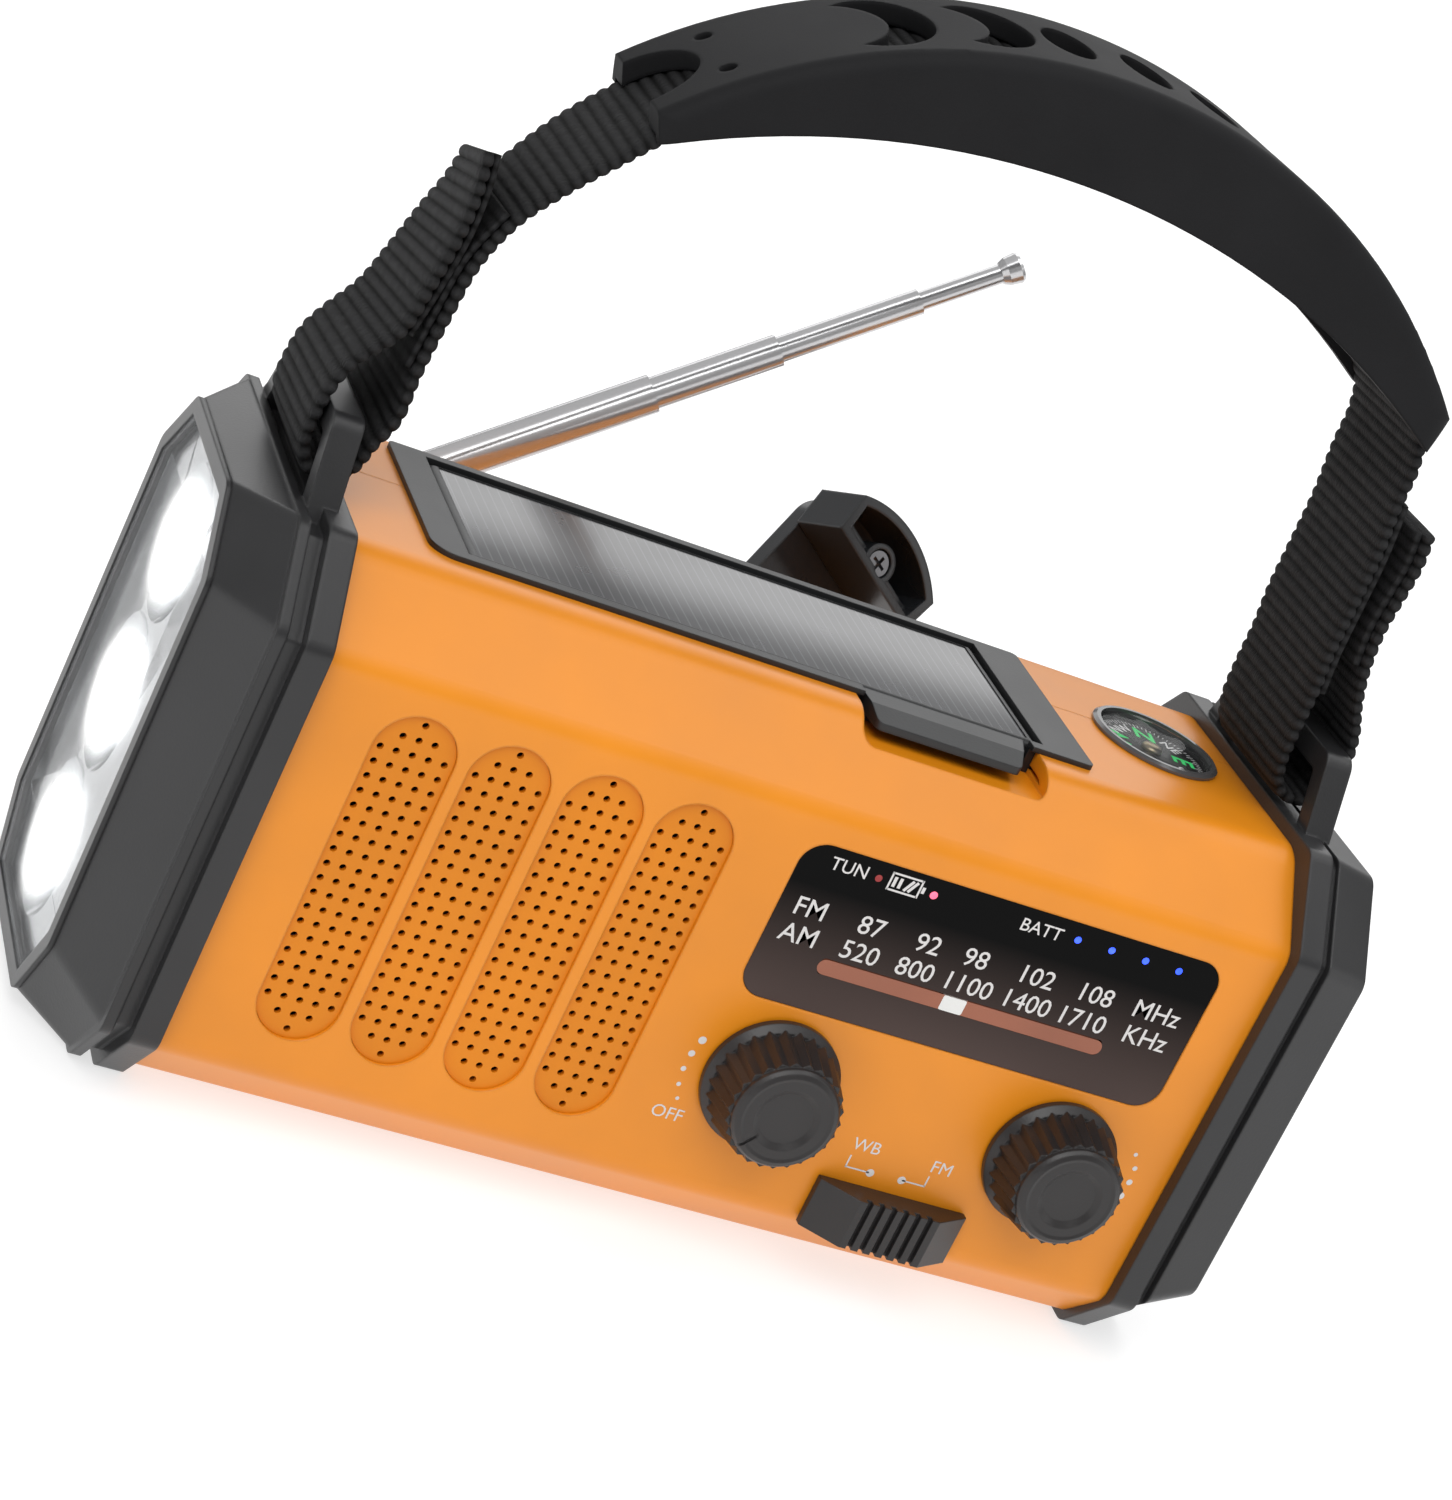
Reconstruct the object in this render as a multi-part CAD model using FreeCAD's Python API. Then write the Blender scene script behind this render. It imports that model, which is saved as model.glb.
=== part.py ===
import FreeCAD, Part
import math
import os

os.makedirs("parts", exist_ok=True)

# Emergency radio: lamp head on the left end, cap on the right end, painted housing between them,
# speaker, dial and knobs on the front, crank and antenna on the back, solar lid on top, strap above.
# Millimetres. X runs along the length, Y from front to back, Z up. Every piece is laid out about the
# middle of the housing's length and depth with Z = 0 at the feet, then moved to the part's origin,
# which is the middle of the whole object's footprint.

# Housing section and length
BODY_END = 76.1
BODY_DEPTH = 36.0
WALL = 2.4
SPLIT_Y = 4.5
TOP_Z = 82.6
END_RING = 4.0
RING_TOP_Z = 84.7
LAMP_FACE_X = -92.0
CAP_FACE_X = 88.9

# Speaker grille
SLOT_CENTRES = [-59.6, -45.7, -31.7, -17.8]
SLOT_Z = 41.1
SLOT_WIDTH = 12.0
SLOT_HEIGHT = 51.0
SLOT_LEDGE = 0.8
HOLE_RADIUS = 0.5
HOLE_PITCH = 2.33
HOLE_ROW_COUNTS = [1, 3] + [5] * 18 + [3, 1]

# Dial
DIAL_X = [-2.1, 67.7]
DIAL_Z = [41.3, 66.5]
DIAL_CORNER = 4.0
DIAL_SLOT_X = [8.2, 54.9]
DIAL_SLOT_Z = [47.3, 49.9]
POINTER_X = 30.0
STATUS_LED_Z = 63.8
STATUS_LED_X = [10.3, 19.25] + [43.25 + 5.77 * step for step in range(4)]

# Knobs
VOLUME_X = 9.2
TUNING_X = 56.0
KNOB_Z = 29.2
KNOB_FACE_Y = -46.8
KNOB_BASE_RADIUS = 9.7
KNOB_FACE_RADIUS = 8.1
KNOB_DISH_RADIUS = 4.9
KNOB_FLUTES = 26
KNOB_MARK_ANGLE = 228.0
KNOB_SHAFT_RADIUS = 3.0
RUNNING = 0.05
DRUM_RADIUS = 8.2
CORD_THICKNESS = 0.6

# Band switch
SWITCH_X = 35.4
SWITCH_Z = 13.3
SWITCH_TRAVEL = 4.0

# Solar lid
TRAY_X = [-63.0, 42.4]
TRAY_Y = [-18.4, 20.2]
LID_X = [-57.2, 34.0]
LID_Y = [-16.0, 18.0]
LID_TOP_Z = 83.0
LID_THICKNESS = 2.8
LID_HINGE_Y = 16.6
LID_HINGE_Z = 81.7
TAB_X = [4.4, 31.6]

# Compass
COMPASS_X = 61.2
COMPASS_Y = 2.3
COMPASS_RADIUS = 10.3

# Crank
CRANK_X = -0.65
CRANK_Z = 38.0
CRANK_PIVOT_Y = 37.3
CRANK_SPIN = 35.0
CRANK_FOLD = 28.6
ARM_LENGTH = 52.0
ARM_THICKNESS = 3.6
ARM_HALF_WIDTH = 10.4
GRIP_DEPTH = 11.2
GRIP_HALF_LENGTH = 11.6
GRIP_WALL = 1.5
GEAR_MODULE = 0.8
GEAR_TEETH = 60
PINION_TEETH = 15
PINION_ANGLE = -30.0
GEAR_Y = [24.5, 28.5]
BACKLASH = 0.16

# Antenna
ANTENNA_PIVOT = (-55.5, 42.0, 67.9)
ANTENNA_SWING = 49.8
TUBE_RADII = [3.0, 2.5, 2.0, 1.5]
TUBE_WALL = 0.3
TUBE_JOINTS = [44.9, 65.1, 88.0, 104.6]
TUBE_STARTS = [4.0, 26.9, 51.0, 65.2]

# Strap
LUG_X = [-82.4, -78.0]
LUG_TOP_Z = 96.2
LUG_FOOT_Y = 22.0
LUG_TOP_Y = 16.4
LUG_POST = 3.6
LUG_BAR_Z = 92.6
WEB_WIDTH = 25.0
WEB_THICKNESS = 1.8
STRAP_AXIS_Z = 109.0
GRIP_ARC_CENTRE = (6.5, 86.9)
GRIP_ARC_RADIUS = 89.4
GRIP_ENDS_X = [-58.0, 70.6]
GRIP_LOWER_CENTRE = (5.0, 35.0)
GRIP_LOWER_RADIUS = 126.0
GRIP_TOP_THICKNESS = 3.0
STRAP_LEFT = [(-54.5, 146.7), (-63.0, 137.5), (-71.0, 124.0), (-72.2, 118.8)]
STRAP_RIGHT = [(67.3, 147.0), (71.9, 133.0), (71.8, 118.8)]
FOLDED_LEFT = [(-74.0, 133.0), (-74.4, 118.8)]
FOLDED_RIGHT = [(75.3, 129.5), (75.2, 118.8)]
FOLDED_THICKNESS = 6.4
GRIP_BAND_WIDTH = 30.0
# Windows in the top of the grip: (place along X, length along the strap, width across)
GRIP_CRESCENTS = [(-30.5, 16.0, 21.0), (-16.0, 14.0, 19.0)]
GRIP_CRESCENT_STEP = 7.0
GRIP_OVALS = [(-3.5, 7.4, 13.5), (9.0, 7.2, 13.5), (21.0, 7.0, 13.0), (33.0, 6.6, 12.0)]
GRIP_CORNER = 4.5
GRIP_EYE_X = -49.6
GRIP_EYE_Y = 7.2
GRIP_EYE_RADIUS = 1.3

# Ends
PORT_Z = 31.0
PORT_HALF_WIDTH = 19.0
PORT_HALF_HEIGHT = 8.6
BUTTON_Y = 11.0
BUTTON_Z = 56.0
BOSS_X = 71.5
BOSS_ROWS_Z = [13.5, 68.5]


# ---------------------------------------------------------------- helpers

def vec(x, y, z):
    return FreeCAD.Vector(x, y, z)


def box(x0, x1, y0, y1, z0, z1):
    return Part.makeBox(x1 - x0, y1 - y0, z1 - z0, vec(x0, y0, z0))


def rod(radius, start, end):
    axis = end - start
    return Part.makeCylinder(radius, axis.Length, start, axis)


def pipe(outer, inner, start, end):
    return rod(outer, start, end).cut(rod(inner, start, end))


def across_x(x):
    return lambda u, v: vec(x, u, v)


def across_y(y):
    return lambda u, v: vec(u, y, v)


def across_z(z):
    return lambda u, v: vec(u, v, z)


def rounded_wire(corners, place):
    """Closed wire through corners (u, v, radius), each rounded by its own radius."""
    count = len(corners)
    arcs = []
    for index in range(count):
        u0, v0, _ = corners[index - 1]
        u1, v1, radius = corners[index]
        u2, v2, _ = corners[(index + 1) % count]
        back = FreeCAD.Vector(u0 - u1, v0 - v1, 0).normalize()
        ahead = FreeCAD.Vector(u2 - u1, v2 - v1, 0).normalize()
        half = back.getAngle(ahead) / 2
        corner = FreeCAD.Vector(u1, v1, 0)
        setback = radius / math.tan(half)
        middle_offset = radius / math.sin(half) - radius
        bisector = (back + ahead).normalize()
        arcs.append((corner + back * setback, corner + bisector * middle_offset, corner + ahead * setback))
    edges = []
    for index, (start, middle, end) in enumerate(arcs):
        following = arcs[(index + 1) % count][0]
        if (start - end).Length > 1e-6:
            curve = Part.Arc(place(start.x, start.y), place(middle.x, middle.y), place(end.x, end.y))
            edges.append(curve.toShape())
        if (following - end).Length > 1e-6:
            line = Part.LineSegment(place(end.x, end.y), place(following.x, following.y))
            edges.append(line.toShape())
    return Part.Wire(edges)


def plate(corners, place, travel):
    return Part.Face(rounded_wire(corners, place)).extrude(travel)


def inset(corners, distance):
    """The same convex outline moved inwards by a distance, its corner radii reduced to match."""
    count = len(corners)
    moved = []
    for index in range(count):
        u0, v0, _ = corners[index - 1]
        u1, v1, radius = corners[index]
        u2, v2, _ = corners[(index + 1) % count]
        back = FreeCAD.Vector(u0 - u1, v0 - v1, 0).normalize()
        ahead = FreeCAD.Vector(u2 - u1, v2 - v1, 0).normalize()
        half = back.getAngle(ahead) / 2
        shift = (back + ahead).normalize() * (distance / math.sin(half))
        moved.append((u1 + shift.x, v1 + shift.y, max(radius - distance, 0.4)))
    return moved


def rectangle(u0, u1, v0, v1, radius):
    return [(u0, v0, radius), (u1, v0, radius), (u1, v1, radius), (u0, v1, radius)]


def octagon(depth, side_low, side_high, top_half, top, bottom_half, bottom, radius):
    return [
        (-depth, side_low, radius), (-depth, side_high, radius),
        (-top_half, top, radius), (top_half, top, radius),
        (depth, side_high, radius), (depth, side_low, radius),
        (bottom_half, bottom, radius), (-bottom_half, bottom, radius),
    ]


def loft_x(first, first_x, second, second_x):
    wires = [rounded_wire(first, across_x(first_x)), rounded_wire(second, across_x(second_x))]
    return Part.makeLoft(wires, True, True)


def prism_x(corners, x0, x1):
    return plate(corners, across_x(x0), vec(x1 - x0, 0, 0))


def turned(points, x, z):
    """Solid of revolution about a line along Y through (x, z); points are (radius, y)."""
    outline = [vec(x + radius, y, z) for radius, y in points]
    face = Part.Face(Part.makePolygon(outline + [outline[0]]))
    return face.revolve(vec(x, 0, z), vec(0, 1, 0), 360)


def turned_z(points, x, y):
    """Solid of revolution about a line along Z through (x, y); points are (radius, z)."""
    outline = [vec(x + radius, y, z) for radius, z in points]
    face = Part.Face(Part.makePolygon(outline + [outline[0]]))
    return face.revolve(vec(x, y, 0), vec(0, 0, 1), 360)


def union(shapes):
    return shapes[0].multiFuse(shapes[1:]).removeSplitter()


def grouped(shapes):
    return Part.makeCompound(shapes)


HOUSING = octagon(BODY_DEPTH, 9.5, 71.0, 23.4, TOP_Z, 27.0, 1.2, 4.0)
HOUSING[2] = (-23.4, TOP_Z, 7.0)
HOUSING[3] = (23.4, TOP_Z, 7.0)
RING = octagon(38.5, 10.6, 72.1, 27.3, RING_TOP_Z, 28.0, 0.0, 3.0)
LAMP_NECK = inset(RING, 2.2)
LAMP_BACK = octagon(37.0, 10.4, 72.4, 26.4, 84.2, 27.6, 0.5, 3.0)
LAMP_FRONT = octagon(25.5, 14.5, 71.5, 15.6, 82.2, 17.5, 2.6, 3.0)
CAP_NECK = inset(RING, 1.2)
CAP_NEAR = octagon(38.9, 12.4, 72.0, 27.2, 84.5, 25.0, 0.0, 3.0)
CAP_FAR = octagon(37.4, 15.0, 70.8, 26.0, 83.0, 21.0, 1.4, 3.0)


# ---------------------------------------------------------------- housing

def housing_tube():
    outer = prism_x(HOUSING, -BODY_END, BODY_END)
    return outer.cut(prism_x(inset(HOUSING, WALL), -BODY_END, BODY_END))


def slot_outline(centre_x, inset_by):
    half = SLOT_WIDTH / 2 - inset_by
    tall = SLOT_HEIGHT / 2 - inset_by
    return rectangle(centre_x - half, centre_x + half, SLOT_Z - tall, SLOT_Z + tall, half)


def screw_bosses(y0, y1, hole):
    bosses = []
    for x in (-BOSS_X, BOSS_X):
        for z in BOSS_ROWS_Z:
            bosses.append(pipe(3.0, hole, vec(x, y0, z), vec(x, y1, z)))
    return bosses


def tray_opening():
    return box(-60.9, 40.9, -17.4, 19.3, TOP_Z - 9.0, TOP_Z + 5.0)


def compass_opening():
    return rod(COMPASS_RADIUS - 0.3, vec(COMPASS_X, COMPASS_Y, 70.0), vec(COMPASS_X, COMPASS_Y, 90.0))


def finger_scoop():
    """Hollow in the top front chamfer, below the lid's tab."""
    outline = rectangle(TAB_X[0] - 1.6, TAB_X[1] + 1.6, -27.4, -15.0, 2.4)
    return plate(outline, across_z(78.9), vec(0, 0, 12.0))


def front_shell():
    shell = housing_tube().common(box(-90, 90, -50, SPLIT_Y, -5, 95))
    shell = shell.fuse(box(TAB_X[0] - 3.4, TAB_X[1] + 3.4, -29.0, -14.0, 75.2, 79.6).common(
        prism_x(HOUSING, -BODY_END, BODY_END)))
    shell = union([shell] + screw_bosses(-33.8, SPLIT_Y, 1.25))
    cuts = []
    for centre_x in SLOT_CENTRES:
        cuts.append(plate(slot_outline(centre_x, 0), across_y(-BODY_DEPTH - 1), vec(0, 2.4, 0)))
        cuts.append(plate(slot_outline(centre_x, SLOT_LEDGE), across_y(-BODY_DEPTH - 1), vec(0, 6, 0)))
    dial = rectangle(DIAL_X[0], DIAL_X[1], DIAL_Z[0], DIAL_Z[1], DIAL_CORNER)
    cuts.append(plate(dial, across_y(-BODY_DEPTH - 1), vec(0, 2.8, 0)))
    cuts.append(plate(inset(dial, 1.6), across_y(-BODY_DEPTH - 1), vec(0, 6, 0)))
    cuts.append(rod(4.1, vec(VOLUME_X, -40, KNOB_Z), vec(VOLUME_X, -30, KNOB_Z)))
    cuts.append(rod(KNOB_SHAFT_RADIUS + RUNNING, vec(TUNING_X, -40, KNOB_Z), vec(TUNING_X, -30, KNOB_Z)))
    cuts.append(box(SWITCH_X - 8.0, SWITCH_X + 8.0, -40, -30, SWITCH_Z - 1.5, SWITCH_Z + 1.5))
    cuts.append(tray_opening())
    cuts.append(compass_opening())
    cuts.append(finger_scoop())
    return shell.cut(cuts)


def grille_panels():
    """Four perforated panels, one behind each stadium slot."""
    panels = []
    rows = len(HOLE_ROW_COUNTS)
    for centre_x in SLOT_CENTRES:
        panel = plate(slot_outline(centre_x, 0.05), across_y(-35.4), vec(0, 0.8, 0))
        holes = []
        for row, count in enumerate(HOLE_ROW_COUNTS):
            z = SLOT_Z + (row - (rows - 1) / 2) * HOLE_PITCH * 0.985
            for column in range(count):
                x = centre_x + (column - (count - 1) / 2) * HOLE_PITCH
                holes.append(rod(HOLE_RADIUS, vec(x, -36, z), vec(x, -34, z)))
        panels.append(panel.cut(holes))
    return grouped(panels)


def crank_seat():
    """Round seat for the hub, channel for the arm and well for the grip, as one cutting tool."""
    hub = rod(14.4, vec(CRANK_X, 31.4, CRANK_Z), vec(CRANK_X, 50, CRANK_Z))
    channel = plate(
        rectangle(CRANK_X, CRANK_X + ARM_LENGTH + 9.6, CRANK_Z - 12.8, CRANK_Z + 12.8, 3.0),
        across_y(33.0), vec(0, 20, 0))
    well = plate(
        rectangle(CRANK_X + ARM_LENGTH - 5.0, CRANK_X + ARM_LENGTH + 8.6,
                  CRANK_Z - 12.4, CRANK_Z + 12.4, 2.0),
        across_y(21.6), vec(0, 20, 0))
    return hub, channel, well


def back_shell():
    shell = housing_tube().common(box(-90, 90, SPLIT_Y, 50, -5, 95))
    hub_backing = rod(16.8, vec(CRANK_X, 29.0, CRANK_Z), vec(CRANK_X, 34.5, CRANK_Z))
    channel_backing = box(CRANK_X, CRANK_X + ARM_LENGTH + 11.6, 30.6, 34.5, CRANK_Z - 14.8, CRANK_Z + 14.8)
    well_backing = box(CRANK_X + ARM_LENGTH - 7.0, CRANK_X + ARM_LENGTH + 10.6, 19.8, 34.5,
                       CRANK_Z - 14.4, CRANK_Z + 14.4)
    pivot_x, _, pivot_z = ANTENNA_PIVOT
    antenna_boss = rod(6.6, vec(pivot_x, 26, pivot_z), vec(pivot_x, BODY_DEPTH, pivot_z))
    posts = [rod(3.0, vec(x, 22.4, z), vec(x, 34.5, z)) for x in (-26, 36) for z in (9, 66)]
    shell = union([shell, hub_backing, channel_backing, well_backing, antenna_boss] + posts
                  + screw_bosses(SPLIT_Y, 34.5, 1.5))
    cuts = list(crank_seat())
    cuts.append(rod(4.0 + RUNNING, vec(CRANK_X, 20, CRANK_Z), vec(CRANK_X, 40, CRANK_Z)))
    cuts.append(rod(2.0 + RUNNING, vec(pivot_x, 20, pivot_z), vec(pivot_x, 40, pivot_z)))
    for x in (-BOSS_X, BOSS_X):
        for z in BOSS_ROWS_Z:
            cuts.append(rod(1.5, vec(x, 0, z), vec(x, 40, z)))
            cuts.append(rod(2.9, vec(x, 33.4, z), vec(x, 40, z)))
    cuts.append(tray_opening())
    cuts.append(compass_opening())
    return shell.cut(cuts)


def housing_screws():
    screws = []
    for x in (-BOSS_X, BOSS_X):
        for z in BOSS_ROWS_Z:
            head = rod(2.7, vec(x, 33.4, z), vec(x, 35.2, z))
            shank = rod(1.25, vec(x, -10, z), vec(x, 33.4, z))
            slots = [box(x - 1.7, x + 1.7, 34.4, 36, z - 0.35, z + 0.35),
                     box(x - 0.35, x + 0.35, 34.4, 36, z - 1.7, z + 1.7)]
            screws.append(head.fuse(shank).cut(slots))
    return grouped(screws)


# ---------------------------------------------------------------- lamp head

LAMP_CUPS_Z = [18.6, 42.4, 66.2]


def strap_lug(x0, x1):
    """Loop for the strap; its posts lean in towards the bar."""
    lean = (LUG_FOOT_Y - LUG_TOP_Y) / (LUG_TOP_Z - 82.0)
    bar_y = LUG_TOP_Y + lean * (LUG_TOP_Z - LUG_BAR_Z) - LUG_POST
    foot_y = LUG_FOOT_Y + lean * 2.0 - LUG_POST
    outline = [(-LUG_FOOT_Y, 82.0, 0.5), (LUG_FOOT_Y, 82.0, 0.5), (LUG_TOP_Y, LUG_TOP_Z, 2.6),
               (-LUG_TOP_Y, LUG_TOP_Z, 2.6)]
    slot = [(-foot_y, 80.0, 0.5), (foot_y, 80.0, 0.5), (bar_y, LUG_BAR_Z, 1.2), (-bar_y, LUG_BAR_Z, 1.2)]
    frame = plate(outline, across_x(x0), vec(x1 - x0, 0, 0))
    return frame.cut(plate(slot, across_x(x0 - 1), vec(x1 - x0 + 2, 0, 0)))


def lamp_housing():
    ring = prism_x(RING, -BODY_END - END_RING, -BODY_END)
    neck = prism_x(LAMP_NECK, -83.0, -BODY_END - END_RING)
    head = loft_x(LAMP_BACK, -83.0, LAMP_FRONT, -91.2)
    collar = prism_x(LAMP_BACK, -84.0, -82.4)
    outer = union([ring, neck, collar, head, strap_lug(*LUG_X)])
    back_room = prism_x(inset(LAMP_NECK, 2.2), -83.4, -78.1)
    front_room = loft_x(inset(LAMP_BACK, 2.6), -83.4, inset(LAMP_FRONT, 1.9), -91.3)
    wire_hole = rod(3.0, vec(-79, 0, 42), vec(-75, 0, 42))
    posts = [rod(2.0, vec(-80.4, y, 30), vec(-77.5, y, 30)) for y in (-14, 14)]
    return union([outer.cut([back_room, front_room, wire_hole])] + posts)


def lamp_rim():
    outer = prism_x(LAMP_FRONT, LAMP_FACE_X, -91.2)
    return outer.cut(prism_x(inset(LAMP_FRONT, 2.6), LAMP_FACE_X - 1, -91.0))


def lamp_lens():
    front = prism_x(inset(LAMP_FRONT, 2.65), -91.7, -91.2)
    back = prism_x(inset(LAMP_FRONT, 1.95), -91.2, -90.4)
    return front.fuse(back).removeSplitter()


def lamp_cup(z, mouth, throat):
    start = vec(-90.4, 0, z)
    return Part.makeCone(mouth, throat, 7.4, start, vec(1, 0, 0))


def lamp_reflector():
    face = prism_x(inset(LAMP_FRONT, 2.4), -90.4, -89.4)
    shells = [lamp_cup(z, 12.4, 4.6) for z in LAMP_CUPS_Z]
    openings = [lamp_cup(z, 11.6, 3.6) for z in LAMP_CUPS_Z]
    throats = [rod(3.4, vec(-84, 0, z), vec(-80, 0, z)) for z in LAMP_CUPS_Z]
    return union([face] + shells).cut(openings + throats)


def lamp_led_board():
    """Board with one LED behind each cup."""
    outline = octagon(20.0, 14.0, 70.0, 12.0, 76.0, 12.0, 8.0, 2.0)
    leds = [prism_x(outline, -82.0, -80.4)]
    for z in LAMP_CUPS_Z:
        base = box(-82.8, -82.0, -2.3, 2.3, z - 2.3, z + 2.3)
        dome = Part.makeSphere(1.7, vec(-82.8, 0, z)).common(box(-86, -82.8, -3, 3, z - 3, z + 3))
        leds += [base, dome]
    return union(leds)


# ---------------------------------------------------------------- right cap

def port_recess(clearance):
    half_width = PORT_HALF_WIDTH - clearance
    half_height = PORT_HALF_HEIGHT - clearance
    return rectangle(-half_width, half_width, PORT_Z - half_height, PORT_Z + half_height, 2.0)


def right_cap():
    ring = prism_x(RING, BODY_END, BODY_END + END_RING)
    neck = prism_x(CAP_NECK, BODY_END + END_RING, 81.3)
    main = loft_x(CAP_NEAR, 81.3, CAP_FAR, CAP_FACE_X)
    outer = union([ring, neck, main, strap_lug(-LUG_X[1] - 0.2, -LUG_X[0] - 0.2)])
    room = prism_x(inset(CAP_FAR, 2.6), BODY_END + 2.0, CAP_FACE_X - 4.4)
    entry = prism_x(rectangle(-24, 24, 16, 66, 3.0), BODY_END - 1, BODY_END + 2.5)
    cuts = [room, entry]
    cuts.append(prism_x(port_recess(0), CAP_FACE_X - 2.2, CAP_FACE_X + 1))
    cuts.append(box(80, 90, -14.1, 0.1, PORT_Z - 3.4, PORT_Z + 3.4))
    cuts.append(box(80, 90, 6.4, 15.6, PORT_Z - 1.8, PORT_Z + 1.8))
    for y in (-BUTTON_Y, BUTTON_Y):
        cuts.append(rod(5.6, vec(80, y, BUTTON_Z), vec(92, y, BUTTON_Z)))
    return outer.cut(cuts)


def usb_a_socket():
    shell = box(73.6, 86.5, -14.0, 0.0, PORT_Z - 3.3, PORT_Z + 3.3)
    mouth = box(76.0, 88, -13.25, -0.75, PORT_Z - 2.6, PORT_Z + 2.6)
    tongue = box(76.0, 85.6, -12.6, -1.4, PORT_Z + 0.5, PORT_Z + 1.9)
    return shell.cut(mouth).fuse(tongue).removeSplitter()


def usb_c_socket():
    outline = rectangle(6.5, 15.5, PORT_Z - 1.7, PORT_Z + 1.7, 1.65)
    shell = prism_x(outline, 78.0, 86.5)
    mouth = prism_x(inset(outline, 0.35), 79.0, 88.0)
    tongue = box(79.0, 85.0, 7.6, 14.4, PORT_Z - 0.35, PORT_Z + 0.35)
    return shell.cut(mouth).fuse(tongue).removeSplitter()


def port_cover():
    flap = prism_x(port_recess(0.25), CAP_FACE_X - 1.9, CAP_FACE_X - 0.1)
    lip = prism_x(rectangle(-6.0, 6.0, PORT_Z + 5.2, PORT_Z + 7.2, 0.6), CAP_FACE_X - 0.2, CAP_FACE_X + 0.9)
    return flap.fuse(lip).removeSplitter()


def push_button(y):
    cap = rod(5.3, vec(84.9, y, BUTTON_Z), vec(CAP_FACE_X + 1.3, y, BUTTON_Z))
    outer_edge = [edge for edge in cap.Edges if edge.BoundBox.XMin > CAP_FACE_X + 1.2]
    return cap.makeFillet(0.7, outer_edge)


def end_board():
    """Board carrying both sockets and the two button switches."""
    plate_shape = box(80.2, 81.8, -20, 20, PORT_Z - 8, BUTTON_Z + 7)
    plate_shape = plate_shape.cut([box(79, 83, -14.05, 0.05, PORT_Z - 3.35, PORT_Z + 3.35),
                                   box(79, 83, 6.4, 15.6, PORT_Z - 1.8, PORT_Z + 1.8)])
    switches = [box(81.8, 83.2, y - 3, y + 3, BUTTON_Z - 3, BUTTON_Z + 3) for y in (-BUTTON_Y, BUTTON_Y)]
    return union([plate_shape] + switches)


# ---------------------------------------------------------------- dial and controls

def dial_window():
    gap = 0.1
    x0, x1 = DIAL_X
    z0, z1 = DIAL_Z
    outline = rectangle(x0 + gap, x1 - gap, z0 + gap, z1 - gap, DIAL_CORNER - gap)
    window = plate(outline, across_y(-35.85), vec(0, 1.65, 0))
    slot = plate(rectangle(*DIAL_SLOT_X, *DIAL_SLOT_Z, 0.6), across_y(-37), vec(0, 4, 0))
    return window.cut(slot)


def dial_light_bar():
    x0, x1 = DIAL_SLOT_X
    z0, z1 = DIAL_SLOT_Z
    return box(x0 - 3, x1 + 3, -34.2, -33.5, z0 + 0.7, z1 + 2.2)


def tuning_pointer():
    face = box(POINTER_X - 2, POINTER_X + 2, -35.6, -34.45, DIAL_SLOT_Z[0] + 0.1, DIAL_SLOT_Z[1] - 0.1)
    neck = box(POINTER_X - 1.5, POINTER_X + 1.5, -34.5, -32.5, DIAL_SLOT_Z[0] + 0.1, DIAL_SLOT_Z[0] + 0.55)
    carriage = box(POINTER_X - 4, POINTER_X + 4, -33.2, -32.0, DIAL_SLOT_Z[0] - 1.6, DIAL_SLOT_Z[1] + 1.0)
    return union([face, neck, carriage])


def display_board():
    return box(2, 66, -32.4, -31.2, 56.5, 68.5)


def status_leds():
    z = STATUS_LED_Z
    return grouped([rod(1.0, vec(x, -33.9, z), vec(x, -32.4, z)) for x in STATUS_LED_X])


def belt_outline(circles, offset):
    """Closed wire of a cord round circles (x, z, radius) in order, the cord's line offset outwards."""
    count = len(circles)
    runs = []
    for index in range(count):
        x0, z0, r0 = circles[index]
        x1, z1, r1 = circles[(index + 1) % count]
        r0 += offset
        r1 += offset
        along = FreeCAD.Vector(x1 - x0, z1 - z0, 0)
        distance = along.Length
        along.normalize()
        outward = FreeCAD.Vector(along.y, -along.x, 0)
        lean = (r0 - r1) / distance
        normal = outward * math.sqrt(1 - lean * lean) + along * lean
        start = FreeCAD.Vector(x0, z0, 0) + normal * r0
        end = FreeCAD.Vector(x1, z1, 0) + normal * r1
        runs.append((start, end, normal))
    edges = []
    for index, (start, end, normal) in enumerate(runs):
        following, _, next_normal = runs[(index + 1) % count]
        x1, z1, r1 = circles[(index + 1) % count]
        middle_normal = (normal + next_normal).normalize()
        middle = FreeCAD.Vector(x1, z1, 0) + middle_normal * (r1 + offset)
        edges.append(Part.LineSegment(vec(start.x, 0, start.y), vec(end.x, 0, end.y)).toShape())
        curve = Part.Arc(vec(end.x, 0, end.y), vec(middle.x, 0, middle.y), vec(following.x, 0, following.y))
        edges.append(curve.toShape())
    return Part.Wire(edges)


DIAL_PEGS = [(4.5, 45.4), (64.0, 45.4)]
PEG_RADIUS = 2.6


def dial_cord():
    """Closed loop of cord round the drum and the two pegs; its top run drives the pointer."""
    circles = [(*DIAL_PEGS[0], PEG_RADIUS), (TUNING_X, KNOB_Z, DRUM_RADIUS), (*DIAL_PEGS[1], PEG_RADIUS)]
    outer = Part.Face(belt_outline(circles, CORD_THICKNESS))
    inner = Part.Face(belt_outline(circles, 0.0))
    ring = outer.cut(inner)
    ring.translate(vec(0, -31.4, 0))
    return ring.extrude(vec(0, CORD_THICKNESS, 0))


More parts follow.
